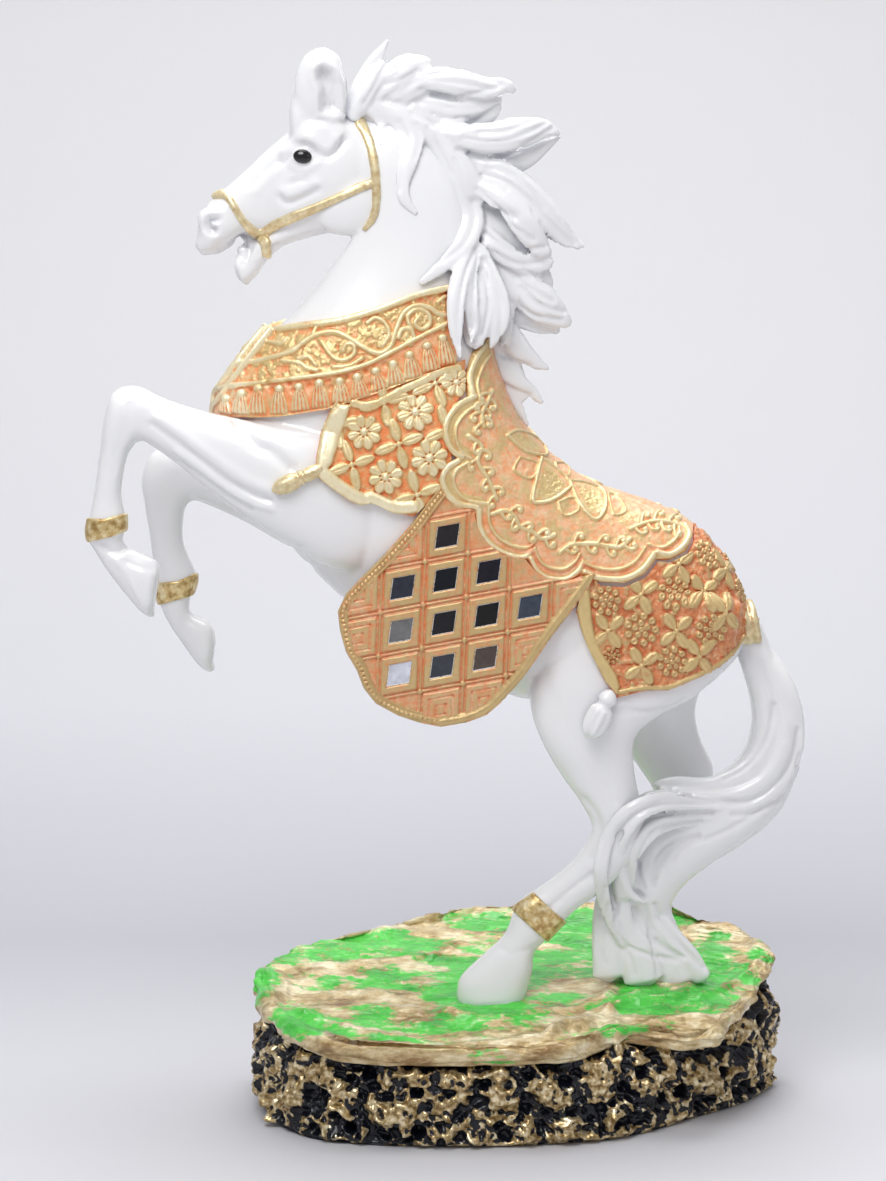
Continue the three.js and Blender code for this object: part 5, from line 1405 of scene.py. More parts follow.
def make_saddle():
    """A lobed and banded edge, vines with curls, and the plates and boxes of the seat."""
    relief = Relief(horse_base, [SADDLE_EDGE], horse_tree)
    relief.gold[:] = SADDLE_GOLD - 0.15 * ramped(relief.folded_normals[:, 2], 0.72, 0.87)
    relief.height = 0.5 * rough(relief.folded, *SADDLE_CRUST)
    stipple = rough(relief.folded, *SEAT_STIPPLE)
    for plate in SEAT_PLATES:
        inner = np.clip(signed_inside(relief.flat, plate)[0] / PIXELS_PER_MM - 1.2, 0, 1)
        relief.plate(plate, 0.7, 0.8, 0.55)
        relief.height += inner * (0.5 * stipple - 0.35)
        relief.gold += 0.25 * inner
        relief.line(plate + plate[:1], 0.8, 1.15)
    for box in SEAT_BOXES:
        relief.line(box + box[:1], 0.55, 0.85)
        relief.pit(*np.mean(box, axis=0), 0.9, 0.5)
    relief.plate(BACK_STRAP, 0.9, 1.6, 0.25)
    for vine in SADDLE_VINES:
        relief.line(vine, 1.0, 1.2)
        line = sampled(vine, 8)
        for k in range(1, 8):
            ahead = unit(line[k + 1] - line[k - 1])
            side = np.array([-ahead[1], ahead[0]]) * (1 if k % 2 else -1)
            relief.line([line[k] + a * side + b * ahead for a, b in CURL], 0.8, 1.15)
            relief.ball(*(line[k] + CURL_BALL[0] * side + CURL_BALL[1] * ahead), 1.2, 1.35)
    for number, lobe in enumerate(SADDLE_LOBES):
        wide = number < WIDE_LOBES
        relief.line(lobe, 4.0 if wide else 1.6, 0.6, 0.85, sharp=8)
        relief.line(lobe, 1.3, 1.5)
        relief.line(drawn_in(lobe, LOBE_LINE_IN), 0.7, 1.2)
        if wide:
            relief.line(drawn_in(lobe, LOBE_FILL_IN), 3.4, 0.05, 0.62, sharp=6)
        else:
            relief.groove(drawn_in(lobe, LOBE_GROOVE_IN), 0.8, 0.3, 0.05)
    return relief.object("saddle_relief", SADDLE_PAINT, CLOTH)


# The croup cloth over the photograph
CROUP_EDGE = [(588, 572), (580, 592), (576, 611), (581, 630), (591, 652), (603, 678), (616, 697), (628, 694),
              (645, 690),
              (666, 689), (682, 683), (700, 675), (717, 665), (730, 652), (740, 637), (752, 628), (790, 600),
              (770, 540), (722, 490),
              (706, 512), (692, 530), (693, 541), (686, 556), (668, 564), (657, 563), (645, 578), (624, 587),
              (600, 586)]
CROUP_BAND = [(589, 585), (576, 592), (575, 603), (579, 624), (586, 645), (596, 664), (605, 681), (616, 696),
              (620, 686), (617, 675),
              (607, 659), (600, 647), (594, 629), (592, 616)]
CROUP_FOOT = [(619, 691), (641, 687), (666, 686), (681, 680), (699, 672), (716, 662), (728, 650), (739, 636)]
CROUP_ROSETTES = [(606, 600, 5.4), (673, 594, 6.2), (704, 557, 5.8), (641, 629, 6.4), (709, 629, 6.0),
                  (671, 661, 5.8),
                  (735, 592, 4.6), (733, 560, 4.0), (612, 655, 3.2)]
CROUP_CROSSES = [(640, 595, 38), (675, 630, 42), (641, 665, 38), (608, 630, 45), (700, 595, 50),
                 (676, 566, 40), (697, 655, 45), (722, 612, 55), (720, 572, 50)]
CROUP_CRUST, CROUP_CRUST_HIGH = (2.2, 3, 45), 0.9


def make_croup():
    """Rosettes of pearls and big leaves on a crusted ground."""
    relief = Relief(horse_base, [CROUP_EDGE], horse_tree)
    crust = rough(relief.folded, *CROUP_CRUST)
    relief.height = CROUP_CRUST_HIGH * np.clip((crust - 0.4) / 0.3, 0, 1)
    relief.gold = 0.12 + 1.6 * np.clip(crust - 0.42, 0, 0.3)
    for px, py, radius in CROUP_ROSETTES:
        relief.pearl_rosette(px, py, radius, 1.8)
    for px, py, turn in CROUP_CROSSES:
        relief.leaves(px, py, 7.6, 2.3, 1.7, (turn, turn + 80, turn + 180, turn + 260), 0.3, 0.8)
    relief.plate(CROUP_BAND, 2.0, 1.4)
    relief.line(CROUP_FOOT, 1.0, 1.4)
    return relief.object("croup_relief", CROUP_PAINT, CLOTH)


# The mirror flap over the photograph
FLAP_EDGE = [(440, 486), (426, 504), (409, 527), (384, 555), (362, 577), (346, 594), (338, 611), (340, 629),
             (346, 651),
             (357, 670), (364, 688), (376, 703), (398, 715), (419, 722), (441, 726), (466, 722), (487, 714),
             (502, 701),
             (523, 678), (544, 647), (568, 615), (587, 590), (595, 573), (566, 581), (548, 579), (535, 571),
             (526, 560),
             (503, 555), (487, 543), (477, 526), (474, 510), (456, 504), (444, 490)]
FLAP_BEADED = [(444, 490), (430, 508), (413, 531), (388, 559), (366, 581), (350, 598), (343, 612),
               (345, 628), (350, 649), (361, 667), (368, 685), (379, 699), (399, 710), (420, 717),
               (441, 721)]
FLAP_ROPED = [(441, 721), (465, 717), (484, 709), (498, 697), (519, 674), (539, 644), (563, 612), (582, 587),
              (589, 577)]
LATTICE_START = (425.0, 561.5)
LATTICE_ACROSS = (43.0, -8.0)
LATTICE_DOWN = (-1.7, 43.3)
FLAP_Y = -33.4
FLAP_CROWN = 2.2
FLAP_SPAN = 45
FLAP_MIDDLE = (-22.0, 196.0)
FLAP_STEP = 1.36
TILE_SHARE = 0.55
TILE_LEAN = 0.1
MIRROR_CELLS = [(-1, 0), (-1, 1), (-1, 2), (0, -1), (0, 0), (0, 1), (0, 2), (1, 0), (1, 1), (1, 2), (2, 1)]
CELL_COLUMNS = range(-2, 5)
CELL_ROWS = range(-3, 5)
FLAP_GOLD = 0.42
# The plain grid under the flap, in millimetres
FLAP_ACROSS, FLAP_UP = (-76, 36), (146, 262)
FRAME_SHARE, FRAME_HIGH = 0.84, 0.9
RING_SHARES = (0.56, 0.22)
BEAD_SPACING, BEAD_RADIUS, BEAD_HIGH = 1.75, 0.85, 1.55
ROD_ASIDE = 2.2


def lattice(i, j):
    """A crossing of the flap's lattice, in pixels."""
    return np.array(LATTICE_START) + i * np.array(LATTICE_ACROSS) + j * np.array(LATTICE_DOWN)


def cell_of(i, j):
    """The middle and the corners of a cell of the lattice, in pixels."""
    return lattice(i + 0.5, j + 0.5), [lattice(i + a, j + b) for a, b in ((0, 0), (1, 0), (1, 1), (0, 1))]


def shrunk(middle, corners, share):
    """Corners drawn in towards their middle."""
    return [middle + share * (c - middle) for c in corners]


def tile_corners(middle, corners):
    """The corners of a cell drawn in towards its middle, leaning a little more than the lattice."""
    return [middle + TILE_SHARE * (c - middle + np.array([TILE_LEAN * (middle[1] - c[1]), 0]))
            for c in corners]


def flap_depth(x, z):
    """The depth of the flap's crowned face."""
    return FLAP_Y + FLAP_CROWN * (np.hypot(x - FLAP_MIDDLE[0], z - FLAP_MIDDLE[1]) / FLAP_SPAN) ** 2


def flap_base():
    """The flap's crowned face as a plain grid, on the near side."""
    x, z = np.arange(*FLAP_ACROSS, FLAP_STEP), np.arange(*FLAP_UP, FLAP_STEP)
    gx, gz = np.meshgrid(x, z, indexing="ij")
    here = (np.arange(len(x) - 1)[:, None] * len(z) + np.arange(len(z) - 1)[None, :]).ravel()
    faces = np.stack([here, here + len(z), here + len(z) + 1, here + 1], 1)
    return np.stack([gx, flap_depth(gx, gz), gz], -1).reshape(-1, 3), faces


def make_flap():
    """A leaning lattice of framed cells, open where the mirrors are, in a beaded and roped rim."""
    base = flap_base()
    relief = Relief(base, [FLAP_EDGE], tree_of(*base))
    relief.gold[:] = FLAP_GOLD
    for i, j in product(CELL_COLUMNS, CELL_ROWS):
        middle, corners = cell_of(i, j)
        if signed_inside(middle[None, :], FLAP_EDGE)[0][0] < 2:
            continue
        mirror = (i, j) in MIRROR_CELLS
        frame = signed_inside(relief.flat, shrunk(middle, corners, FRAME_SHARE))[0]
        frame_high = FRAME_HIGH * ramped(frame, -1.5, 1.0)
        if mirror:
            frame_high *= ramped(-signed_inside(relief.flat, tile_corners(middle, corners))[0], -1.2, 0)
        relief.raise_to(frame_high, 0.62 if mirror else 0.5)
        for share in () if mirror else RING_SHARES:
            ring = shrunk(middle, corners, share)
            for a, b in zip(ring, ring[1:] + ring[:1]):
                relief.groove([a, b], 0.3, 0.45, 0.0)
    falling = [([lattice(i, j) for j in (-3, 0, 2, 5)], (ROD_ASIDE, 0)) for i in CELL_COLUMNS]
    level = [([lattice(i, j) for i in (-2, 0, 2, 5)], (0, ROD_ASIDE)) for j in range(-3, 6)]
    for line, aside in falling + level:
        for way in (-1, 1):
            relief.groove([p + way * np.array(aside) for p in line], 0.28, 0.3, 0.0)
        relief.line(line, 0.5, 0.45, 0.55)
    for i, j in product(CELL_COLUMNS, CELL_ROWS):
        if signed_inside(lattice(i, j)[None, :], FLAP_EDGE)[0][0] > 9:
            relief.ball(*lattice(i, j), 1.15, 1.0, 0.6)
    relief.line(FLAP_BEADED, 2.1, 0.75, 0.9, sharp=5)
    for shift in (-4.3, 4.3):
        relief.line([(px + shift * 0.75, py + shift * 0.5) for px, py in FLAP_BEADED], 0.5, 1.25)
    relief.beads(FLAP_BEADED, BEAD_SPACING, BEAD_RADIUS, BEAD_HIGH)
    relief.line(FLAP_ROPED, 2.0, 1.2, 1.0, sharp=3)
    relief.line([(px - 1, py - 1) for px, py in FLAP_ROPED], 0.6, 1.6)
    near = relief.object("left_flap_relief", FLAP_PAINT, 0.15, edge=-3.4)
    far_mesh = near.data.copy()
    far_mesh.transform(((1, 0, 0, 0), (0, -1, 0, 0), (0, 0, 1, 0), (0, 0, 0, 1)))
    far_mesh.flip_normals()
    placed(near, "flap_paint", "left_mirror_flap")
    placed(linked("right_flap_relief", far_mesh), "flap_paint", "right_mirror_flap")


placed(make_collar(), "caparison_paint", "neck_collar")
placed(make_panel(), "caparison_paint", "left_chest_panel", "right_chest_panel")
placed(make_saddle(), "caparison_paint", "saddle_cloth")
placed(make_croup(), "caparison_paint", "croup_cloth")
make_flap()

# Straps and bands over the photograph, each an outline in pixels
NOSEBAND = [(209, 196), (214, 191), (224, 191), (232, 196), (239, 208), (246, 219), (256, 228), (266, 233),
            (271, 241),
            (271, 252), (269, 258), (262, 256), (261, 246), (256, 238), (246, 231), (237, 219), (229, 205),
            (224, 199), (214, 199)]
CHEEK_STRAP = [(259, 231), (272, 221), (292, 212), (316, 203), (340, 192), (356, 184), (373, 178),
               (376, 186), (361, 192), (343, 200), (320, 211), (298, 220), (280, 228), (266, 238)]
THROAT_STRAP = [(354, 117), (361, 116), (367, 124), (374, 140), (378, 158), (380, 175), (381, 196),
                (379, 213), (375, 222), (366, 231), (362, 229), (369, 217), (372, 207), (372, 190),
                (371, 172), (367, 150), (361, 134), (355, 125)]
STRAP_ROUND = 1.3
STRAP_HIGH = 0.9
HEAD_VOXEL = 0.8


def make_bridle():
    """Rounded straps on the bare head."""
    head = melted([BARE_NECK] + BARE_HEAD + BLOBS, HEAD_VOXEL, *BARE_RELAX)
    relief = Relief(head, [NOSEBAND, CHEEK_STRAP, THROAT_STRAP], levels=1, margin=4.0)
    relief.raise_to(STRAP_HIGH * rounded(relief.inside / STRAP_ROUND), 1.0)
    placed(relief.object("bridle_straps", BRIDLE_GOLD, 0.45, edge=-0.5), "gold_paint", "bridle")


make_bridle()

# The mirror tiles: rings of a bevelled rim, as [share of the outline, lift above the face], and the glasses'
# painted reflections
TILE_DEPTH = 0.8
TILE_LIFT = 0.55
TILE_RIM = 0.65
TILE_PAINTED_REFLECTIONS = [(0.045, 0.05, 0.07), (0.22, 0.22, 0.22), (0.80, 0.82, 0.92), (0.03, 0.025, 0.03),
              (0.012, 0.014, 0.02), (0.015, 0.015, 0.018), (0.05, 0.055, 0.07), (0.02, 0.018, 0.028),
              (0.012, 0.012, 0.012), (0.10, 0.075, 0.06), (0.07, 0.085, 0.12)]


def make_tiles():
    """A bevelled silver rim round a glass whose dark or pale colour is a painted reflection, on both sides of
    the horse.
    """
    for number, ((i, j), tone) in enumerate(zip(MIRROR_CELLS, TILE_PAINTED_REFLECTIONS), 1):
        # Painted reflection: each glass's colour stands for what its mirror reflects, speckled a little
        # darker.
        darker_reflection = tuple(0.7 * part for part in tone)
        glass = speckled(f"mirror_glass_{number}", 300, 3, [(0.35, darker_reflection), (0.65, tone)],
                         Metallic=0.3, Roughness=0.08)
        outer = np.array([spot(*c, FLAP_Y) for c in tile_corners(*cell_of(i, j))])
        outer[:, 1] = flap_depth(outer[:, 0], outer[:, 2])
        heart = outer.mean(0)
        face = 1 - TILE_RIM / np.linalg.norm(outer - heart, axis=1).mean()
        sunk = 0.72 * TILE_LIFT
        rings = ((0.98, -TILE_DEPTH), (1, 0.7 * TILE_LIFT), (0.97, TILE_LIFT), (face, TILE_LIFT),
                 (face, sunk), (0, sunk), (0, -TILE_DEPTH))
        points = np.concatenate([(heart + (outer - heart) * share - [0, lift, 0])[: 4 if share else 1]
                                 for share, lift in rings])
        faces = []
        for ring, k in product(range(4), range(4)):
            a, b = ring * 4 + k, ring * 4 + (k + 1) % 4
            faces += [(a, b, b + 4), (a, b + 4, a + 4)]
        glass_faces = range(len(faces), len(faces) + 4)
        faces += [(16 + k, 16 + (k + 1) % 4, 20) for k in range(4)] + [((k + 1) % 4, k, 21) for k in range(4)]
        faces = np.array(faces)
        for side, way, turned_faces in (("left", 1, faces[:, ::-1]), ("right", -1, faces)):
            item = mesh_object(f"{side}_mirror_tile_{number}", points * [1, way, 1], turned_faces, SILVER_RIM)
            item.data.materials.append(glass)
            is_glass = [int(f in glass_faces) for f in range(len(faces))]
            item.data.polygons.foreach_set("material_index", is_glass)
            item.data.shade_flat()
            placed(item, "mirror_glass", f"{side}_mirror_{number}")


make_tiles()

# Leg bands over the photograph, each wider than the leg so that it goes round
BANDS = [
    ("left_fore_band", -1, [(84, 518), (104, 519), (133, 511), (134, 527), (112, 536), (84, 543)]),
    ("right_fore_band", 1, [(150, 584), (178, 581), (202, 570), (206, 588), (186, 597), (152, 607)]),
    ("left_hind_band", -1, [(512, 909), (534, 893), (552, 910), (574, 928), (552, 946), (532, 928)]),
    ("right_hind_band", 1, [(610, 896), (690, 880), (690, 902), (610, 918)]),
]
BAND_HIGH = 0.55
BAND_GRAIN = (2.2, 3, 5)


def make_bands():
    """A rounded and roughened band round each leg."""
    for name, side, outline in BANDS:
        relief = Relief(horse_base, [outline], fold=False, chosen=lambda corners: corners[:, 1] * side > 5)
        relief.raise_to(BAND_HIGH * rounded(relief.inside) + 0.25 * rough(relief.corners, *BAND_GRAIN), 1.0)
        placed(relief.object(name + "_relief", BAND_GOLD, BAND_HIGH), "gold_paint", name)


make_bands()

# Profiles of the loose tassels: [place along, radius, share of the ribs' depth], and their ends
BREAST_TASSEL = [[0, 2.0, 0], [0.12, 2.5, 0], [0.3, 2.6, 0], [0.38, 2.3, 0], [0.42, 3.0, 0], [0.46, 2.4, 0],
                 [0.55, 3.2, 0.2],
                 [0.68, 3.4, 0.2], [0.8, 3.1, 0.2], [0.92, 2.2, 0.1], [1.0, 0.4, 0]]
CROUP_TASSEL = [[0, 1.0, 0], [0.08, 2.6, 0], [0.2, 3.4, 0], [0.29, 2.6, 0], [0.34, 3.0, 0], [0.42, 4.6, 0.5],
                [0.6, 5.0, 1],
                [0.8, 4.6, 1], [0.92, 3.2, 1], [1.0, 0.8, 1]]
TASSEL_RIBS = 9
TASSEL_RIB_DEPTH = 0.16
BREAST_TASSEL_ENDS = (322, 468, -33.0), (272, 491, -35.2)
CROUP_TASSEL_ENDS = (612, 690, -33.0), (588, 738, -33.5)
for name, ends, profile, paint, slot in (
    ("breast_tassel", BREAST_TASSEL_ENDS, BREAST_TASSEL, BRIDLE_GOLD, "gold_paint"),
    ("croup_tassel", CROUP_TASSEL_ENDS, CROUP_TASSEL, WHITE, "white_gloss"),
):
    top, foot = (spot(*end) for end in ends)
    placed_pair(name, "_turned", turned(top, foot, profile, TASSEL_RIBS, TASSEL_RIB_DEPTH), paint, slot)

# The ring at the tail's root: a cord wound round it
TAIL_ROOT = (745, 623)
TAIL_WAY = (0.93, 0, 0.12)
CORD_VOXEL = 0.5
CORD = wound(spot(*TAIL_ROOT), TAIL_WAY, wide=8.2, high=7.2, thick=1.7, turns=3.0, pitch=3.1)
placed(mesh_object("tail_ring_cord", *melted([CORD], CORD_VOXEL, 2), BRIDLE_GOLD), "gold_paint", "tail_ring")

# The painted rock on top: its plan outline in millimetres, from the left round the back
ROCK_SLOPE = 0.2
ROCK_HINGE = -20.0
ROCK_PLAN = [(-98, -8), (-96.5, 4), (-89.5, 17.7), (-76, 26), (-62, 33), (-45, 41), (-31, 48), (-22, 54),
             (4, 57), (33, 58), (60, 57), (73, 45), (89, 33), (96, 17), (95.5, 8), (91, -5), (86, -19),
             (72, -40), (60, -47), (49, -44), (38, -44), (27, -51), (13, -57), (-12, -59), (-41, -59),
             (-65, -56), (-84, -42), (-94, -25)]
ROCK_TURNS = 760
ROCK_REACH = 60.0
PLINTH_HEIGHT = 37.8
PLINTH_SLOPE = 0.125
GREEN_PATCHES = [
    (347, 950, 54, 12), (262, 990, 11, 18), (294, 1022, 28, 9), (322, 1034, 22, 6), (397, 935, 14, 4),
    (411, 947, 30, 6),
    (490, 924, 30, 10), (397, 976, 32, 7), (461, 968, 22, 12), (444, 994, 20, 9), (490, 1012, 52, 11),
    (536, 979, 24, 14),
    (572, 936, 30, 20), (554, 960, 30, 12), (600, 950, 22, 20), (626, 976, 36, 9), (640, 1004, 30, 15),
    (636, 1029, 22, 5),
    (704, 988, 24, 18), (715, 958, 20, 16), (758, 952, 8, 12), (679, 911, 16, 7), (722, 936, 12, 4),
    (379, 1012, 16, 6),
    (401, 1040, 22, 4), (740, 975, 12, 12), (660, 930, 12, 10), (560, 1000, 30, 8), (610, 1030, 14, 4),
    (330, 980, 8, 3),
    (660, 1015, 16, 12),
]
ROCK_MOUNDS = [(-10, -24, 20, 1.8), (50, -16, 26, 3.0)]
LEDGES = [
    ([(262, 1006), (300, 1031), (340, 1047), (400, 1056), (470, 1058), (540, 1052), (590, 1040),
      (615, 1026)], 3.0, 2.0),
    ([(300, 1012), (350, 1030), (400, 1040), (460, 1044), (520, 1040), (570, 1030), (610, 1012),
      (636, 1000)], 2.4, 1.4),
    ([(444, 1014), (490, 1022), (540, 1014), (580, 1008), (612, 1000)], 2.2, 1.3),
    ([(550, 1034), (575, 1020), (600, 1012), (612, 1014)], 2.2, 1.4),
    ([(616, 1034), (650, 1024), (690, 1019), (733, 1014), (752, 996)], 2.6, 1.5),
    ([(612, 977), (643, 974), (675, 976), (690, 992), (672, 1002), (640, 1006)], 2.0, 1.2),
    ([(560, 990), (590, 984), (610, 990), (606, 1002)], 2.4, 1.2),
    ([(700, 1000), (722, 990), (745, 976), (762, 958)], 2.0, 1.2),
    ([(262, 968), (280, 975), (285, 990), (270, 1000)], 2.4, 1.0),
    ([(290, 985), (330, 992), (380, 996), (430, 1004)], 2.4, 0.8),
    ([(300, 960), (340, 966), (400, 960), (450, 950)], 2.0, 0.7),
    ([(440, 925), (480, 912), (530, 912), (560, 920)], 2.4, 0.8),
    ([(690, 925), (720, 930), (750, 940), (755, 950)], 2.4, 1.0),
]
# Where the rock is calm round the hooves, in millimetres, and how wide
ROCK_CALM, CALM_WIDE = (10, -5), 32
# Hills of the rock: size, octaves, seed
ROCK_BEDS, ROCK_GRAIN, ROCK_BREAKS, ROCK_MOSS = (9, 3, 11), (3.2, 3, 21), (6, 2, 31), (6, 5, 41)
BEDS = 9
TERRACE_HIGH = 6.0
# The rock's edge from its top inwards and down: millimetres out, millimetres down
ROCK_EDGE = [(-1.2, 0.1), (0, -1.0), (0.2, -2.6), (-0.8, -4.2), (-0.6, -5.6), (-1.8, -7.4), (-4, -8.6),
             (-9, -9.6), (-18, -10)]
DEEP_GREEN, GRASS_GREEN, LIGHT_GREEN = (0.02, 0.36, 0.02), (0.09, 0.76, 0.07), (0.20, 0.88, 0.14)
ROCK_BROWN, ROCK_GOLD, ROCK_CREAM = (0.32, 0.19, 0.07), (0.66, 0.50, 0.25), (0.97, 0.87, 0.60)


def rock_height(y):
    """The height of the rock's sloping top."""
    return GROUND + ROCK_SLOPE * (y - ROCK_HINGE)


def plinth_top(y):
    """The height of the plinth's sloping top."""
    return PLINTH_HEIGHT + PLINTH_SLOPE * (y - ROCK_HINGE)


def rock_paint():
    """Gold and green enamel, drawn out along the rock."""
    paint = Paint("rock_paint", Roughness=0.3, Coat_Weight=0.6, Coat_Roughness=0.12)
    drawn = paint.node("Mapping", "Vector", {"Vector": paint.place, "Scale": (0.4, 1.0, 1.0)})
    grain, blotch = paint.noise(420, 6, 0.75, drawn), paint.noise(130, 6, 0.7, drawn)
    cover = paint.step(paint.swayed(paint.attribute("green"), grain, 2.2), -0.05, 0.2)
    leaf = paint.ramp(blotch, [(0.3, DEEP_GREEN), (0.55, GRASS_GREEN), (0.7, LIGHT_GREEN)])
    gilt = paint.ramp(blotch, [(0.36, ROCK_BROWN), (0.48, ROCK_GOLD), (0.62, ROCK_CREAM)])
    metal = paint.math("MULTIPLY", paint.math("SUBTRACT", 1.0, cover), 0.65)
    paint.look(Base_Color=paint.mix(cover, gilt, leaf), Metallic=metal)
    paint.bump(grain, 0.8, 0.001)
    return paint.material


def make_rock():
    """A layered rock slab, green in its hollows and gold along its ledges."""
    edge = sampled(np.array(ROCK_PLAN + ROCK_PLAN[:1], float), ROCK_TURNS)[:-1]
    edge += np.stack([lumps(np.c_[edge, 0 * edge[:, 0]], 7, seed) - 0.5 for seed in (3, 4)], 1) * 2.0
    outward = unit(edge)
    front = 0.55 + 0.45 * np.clip(-edge[:, 1] / 58, 0, 1)
    rows = [(share, 0.0, 0.0) for share in np.linspace(0.02, 0.985, 130) ** 0.8]
    rows += [(1.0, out, drop) for out, drop in sampled(ROCK_EDGE, 40)]
    rings = []
    for share, out, drop in rows:
        place = edge * share + outward * out
        lowest = plinth_top(place[:, 1]) - 1
        rings.append(np.c_[place, np.maximum(rock_height(place[:, 1]) + drop * front, lowest)])
    corners, faces = rings_skin(rings, [0, 0, rock_height(0)], [0, 0, plinth_top(0) - 1])
    normals = normals_of(corners, faces)
    tree = tree_of(corners, faces)
    leaning = corners @ np.array([[1, 0.18, 0], [-0.18, 1, 0], [0, 0, 1.0]])
    layers = rough(leaning * [0.35, 1, 1.4], *ROCK_BEDS) * BEDS
    terrace = (np.floor(layers) + ramped(layers - np.floor(layers), 0.65, 0.95)) / BEDS
    height = (terrace - 0.5) * TERRACE_HIGH + (rough(corners, *ROCK_GRAIN) - 0.5) * 1.1
    ridge = np.zeros(len(corners))
    broken = 0.6 + 0.8 * rough(corners, *ROCK_BREAKS)
    for pixels, wide, high in LEDGES:
        shape = bell(line_distance(corners, normals, traced(pixels, tree), wide * 2), wide) * broken
        ridge = np.maximum(ridge, shape)
        height += 1.5 * high * shape
    away = np.hypot(corners[:, 0] - ROCK_CALM[0], (corners[:, 1] - ROCK_CALM[1]) * 1.2)
    height *= ramped(corners[:, 2], 33.5, 36.5) * (1 - 0.75 * np.exp(-((away / CALM_WIDE) ** 4)))
    for x, y, wide, high in ROCK_MOUNDS:
        height += high * bell(corners[:, 0] - x, wide) * bell(corners[:, 1] - y, 15) * (normals[:, 2] > 0.5)
    flat = seen(corners)
    green = np.full(len(corners), -1.0)
    for px, py, wide, high in GREEN_PATCHES:
        green = np.maximum(green, 1 - np.hypot((flat[:, 0] - px) / wide, (flat[:, 1] - py) / high))
    moss = (rough(leaning * [0.3, 1, 1], *ROCK_MOSS) - 0.5) * 3.4 - ridge * 0.5
    green += moss - (terrace - 0.5) * 1.5 + 0.42
    green = np.where(normals[:, 2] < -0.2, -1, 0.42 * np.tanh(1.3 * green))
    corners = corners + normals * height[:, None]
    corners[:, 1] = np.clip(corners[:, 1], -ROCK_REACH, ROCK_REACH)
    rock = mesh_object("painted_rock", corners, faces, rock_paint(), green=green)
    placed(rock, "ground_paint", "ground_slab")


make_rock()

# The lava plinth: its plan outline and its wall, in millimetres
PLINTH_PLAN = [(-101, 8), (-97, 26), (-84, 40), (-62, 50), (-30, 56), (0, 58), (32, 57), (64, 52), (88, 42),
               (99, 26), (99, 12), (88, -6),
               (68, -24), (48, -42), (28, -52), (-8, -58), (-45, -57), (-67, -53), (-82, -46), (-94, -30),
               (-100, -12)]
PLINTH_TURNS = 1100
PLINTH_REACH = np.array([101.5, 60.2])
# The plinth's wall from its foot up: millimetres out, share of its height
PLINTH_WALL = [(-30, 0.015), (-6, 0.015), (-3.5, 0.02), (-2.6, 0.07), (-2.2, 0.24), (-2.4, 0.46),
               (-3.0, 0.7), (-4, 0.86), (-6, 0.96), (-12, 1.0), (-34, 1.0)]
# Hills of the lava: size, octaves, seed; and its bubbles: size, seed
LAVA_BIG, LAVA_MIDDLE, LAVA_WORMS, LAVA_SPECKS = (16, 2, 51), (8.5, 3, 61), (7.5, 2, 91), (2.6, 3, 101)
LAVA_BUBBLES, LAVA_FINE = (6.5, 71), (3.2, 81)
LAVA_BLACK = (0.006, 0.007, 0.012)
LAVA_BROWN, LAVA_GOLD, LAVA_CREAM = (0.20, 0.12, 0.04), (0.52, 0.38, 0.18), (0.92, 0.80, 0.54)


def lava_paint():
    """Black gloss with gold on it."""
    paint = Paint("lava_gloss", Roughness=0.2, Specular_IOR_Level=0.3, Coat_Weight=0.25, Coat_Roughness=0.04)
    grain = paint.noise(420, 5)
    cover = paint.step(paint.swayed(paint.attribute("paint"), grain, 0.8), 0.0, 0.15)
    gilt = paint.ramp(grain, [(0.36, LAVA_BROWN), (0.5, LAVA_GOLD), (0.64, LAVA_CREAM)])
    paint.look(Base_Color=paint.mix(cover, LAVA_BLACK, gilt), Metallic=paint.math("MULTIPLY", cover, 0.6))
    paint.bump(grain, 0.4, 0.0006)
    return paint.material


def make_plinth():
    """Bubbled lava, black in its pits and gold where it stands out."""
    edge = sampled(np.array(PLINTH_PLAN + PLINTH_PLAN[:1], float), PLINTH_TURNS)[:-1]
    outward = unit(edge)
    lean = PLINTH_SLOPE * (edge[:, 1] - ROCK_HINGE)
    rings = [np.c_[edge + outward * out, share * (PLINTH_HEIGHT + share * lean)]
             for out, share in sampled(PLINTH_WALL, 120)]
    corners, faces = rings_skin(rings, [0, 0, 0.6], [0, 0, plinth_top(0)])
    normals = normals_of(corners, faces)
    big = rough(corners * [1, 1, 1.3], *LAVA_BIG)
    middle = rough(corners * [1, 1, 1.2], *LAVA_MIDDLE)
    bubbles = pits(corners + 2.5 * middle[:, None], *LAVA_BUBBLES)
    small = pits(corners, *LAVA_FINE)
    hollow, fine = (1 - np.clip(away / 0.45, 0, 1) ** 2 for away in (bubbles, small))
    worm = np.clip(1 - np.abs(rough(corners * [1, 1, 1.2], *LAVA_WORMS) - 0.5) * 5, 0, 1)
    local = (middle - 0.5) * 8.5 + 2.4 * worm - 3.0 * hollow - 1.5 * fine * (1 - hollow)
    height = ((big - 0.5) * 8 + 1.15 * local) * ramped(corners[:, 2], 0.6, 3.1)
    rims = bell(bubbles - 0.56, 0.1) + 0.8 * bell(small - 0.52, 0.09)
    speck = rough(corners, *LAVA_SPECKS) - 0.5
    # Painted shade: less gold in the band just under the rock's rim, more so towards the plinth's ends.
    shade_under_rock = ramped(corners[:, 2], 27, 35) * np.clip(np.abs(corners[:, 0] - 10) / 60, 0, 1)
    paint = 0.3 * (local - 1.45) + 0.36 * rims - 0.5 * np.clip(fine - 0.4, 0, 1) + 1.3 * speck - 0.45 * shade_under_rock
    corners = corners + normals * height[:, None] * [1, 1, 0.8]
    corners[:, 2] = np.clip(corners[:, 2], 0.05, None)
    corners[:, :2] = np.clip(corners[:, :2], -PLINTH_REACH, PLINTH_REACH)
    placed(mesh_object("lava_plinth", corners, faces, lava_paint(), paint=paint), "lava_paint", "rock_plinth")


make_plinth()
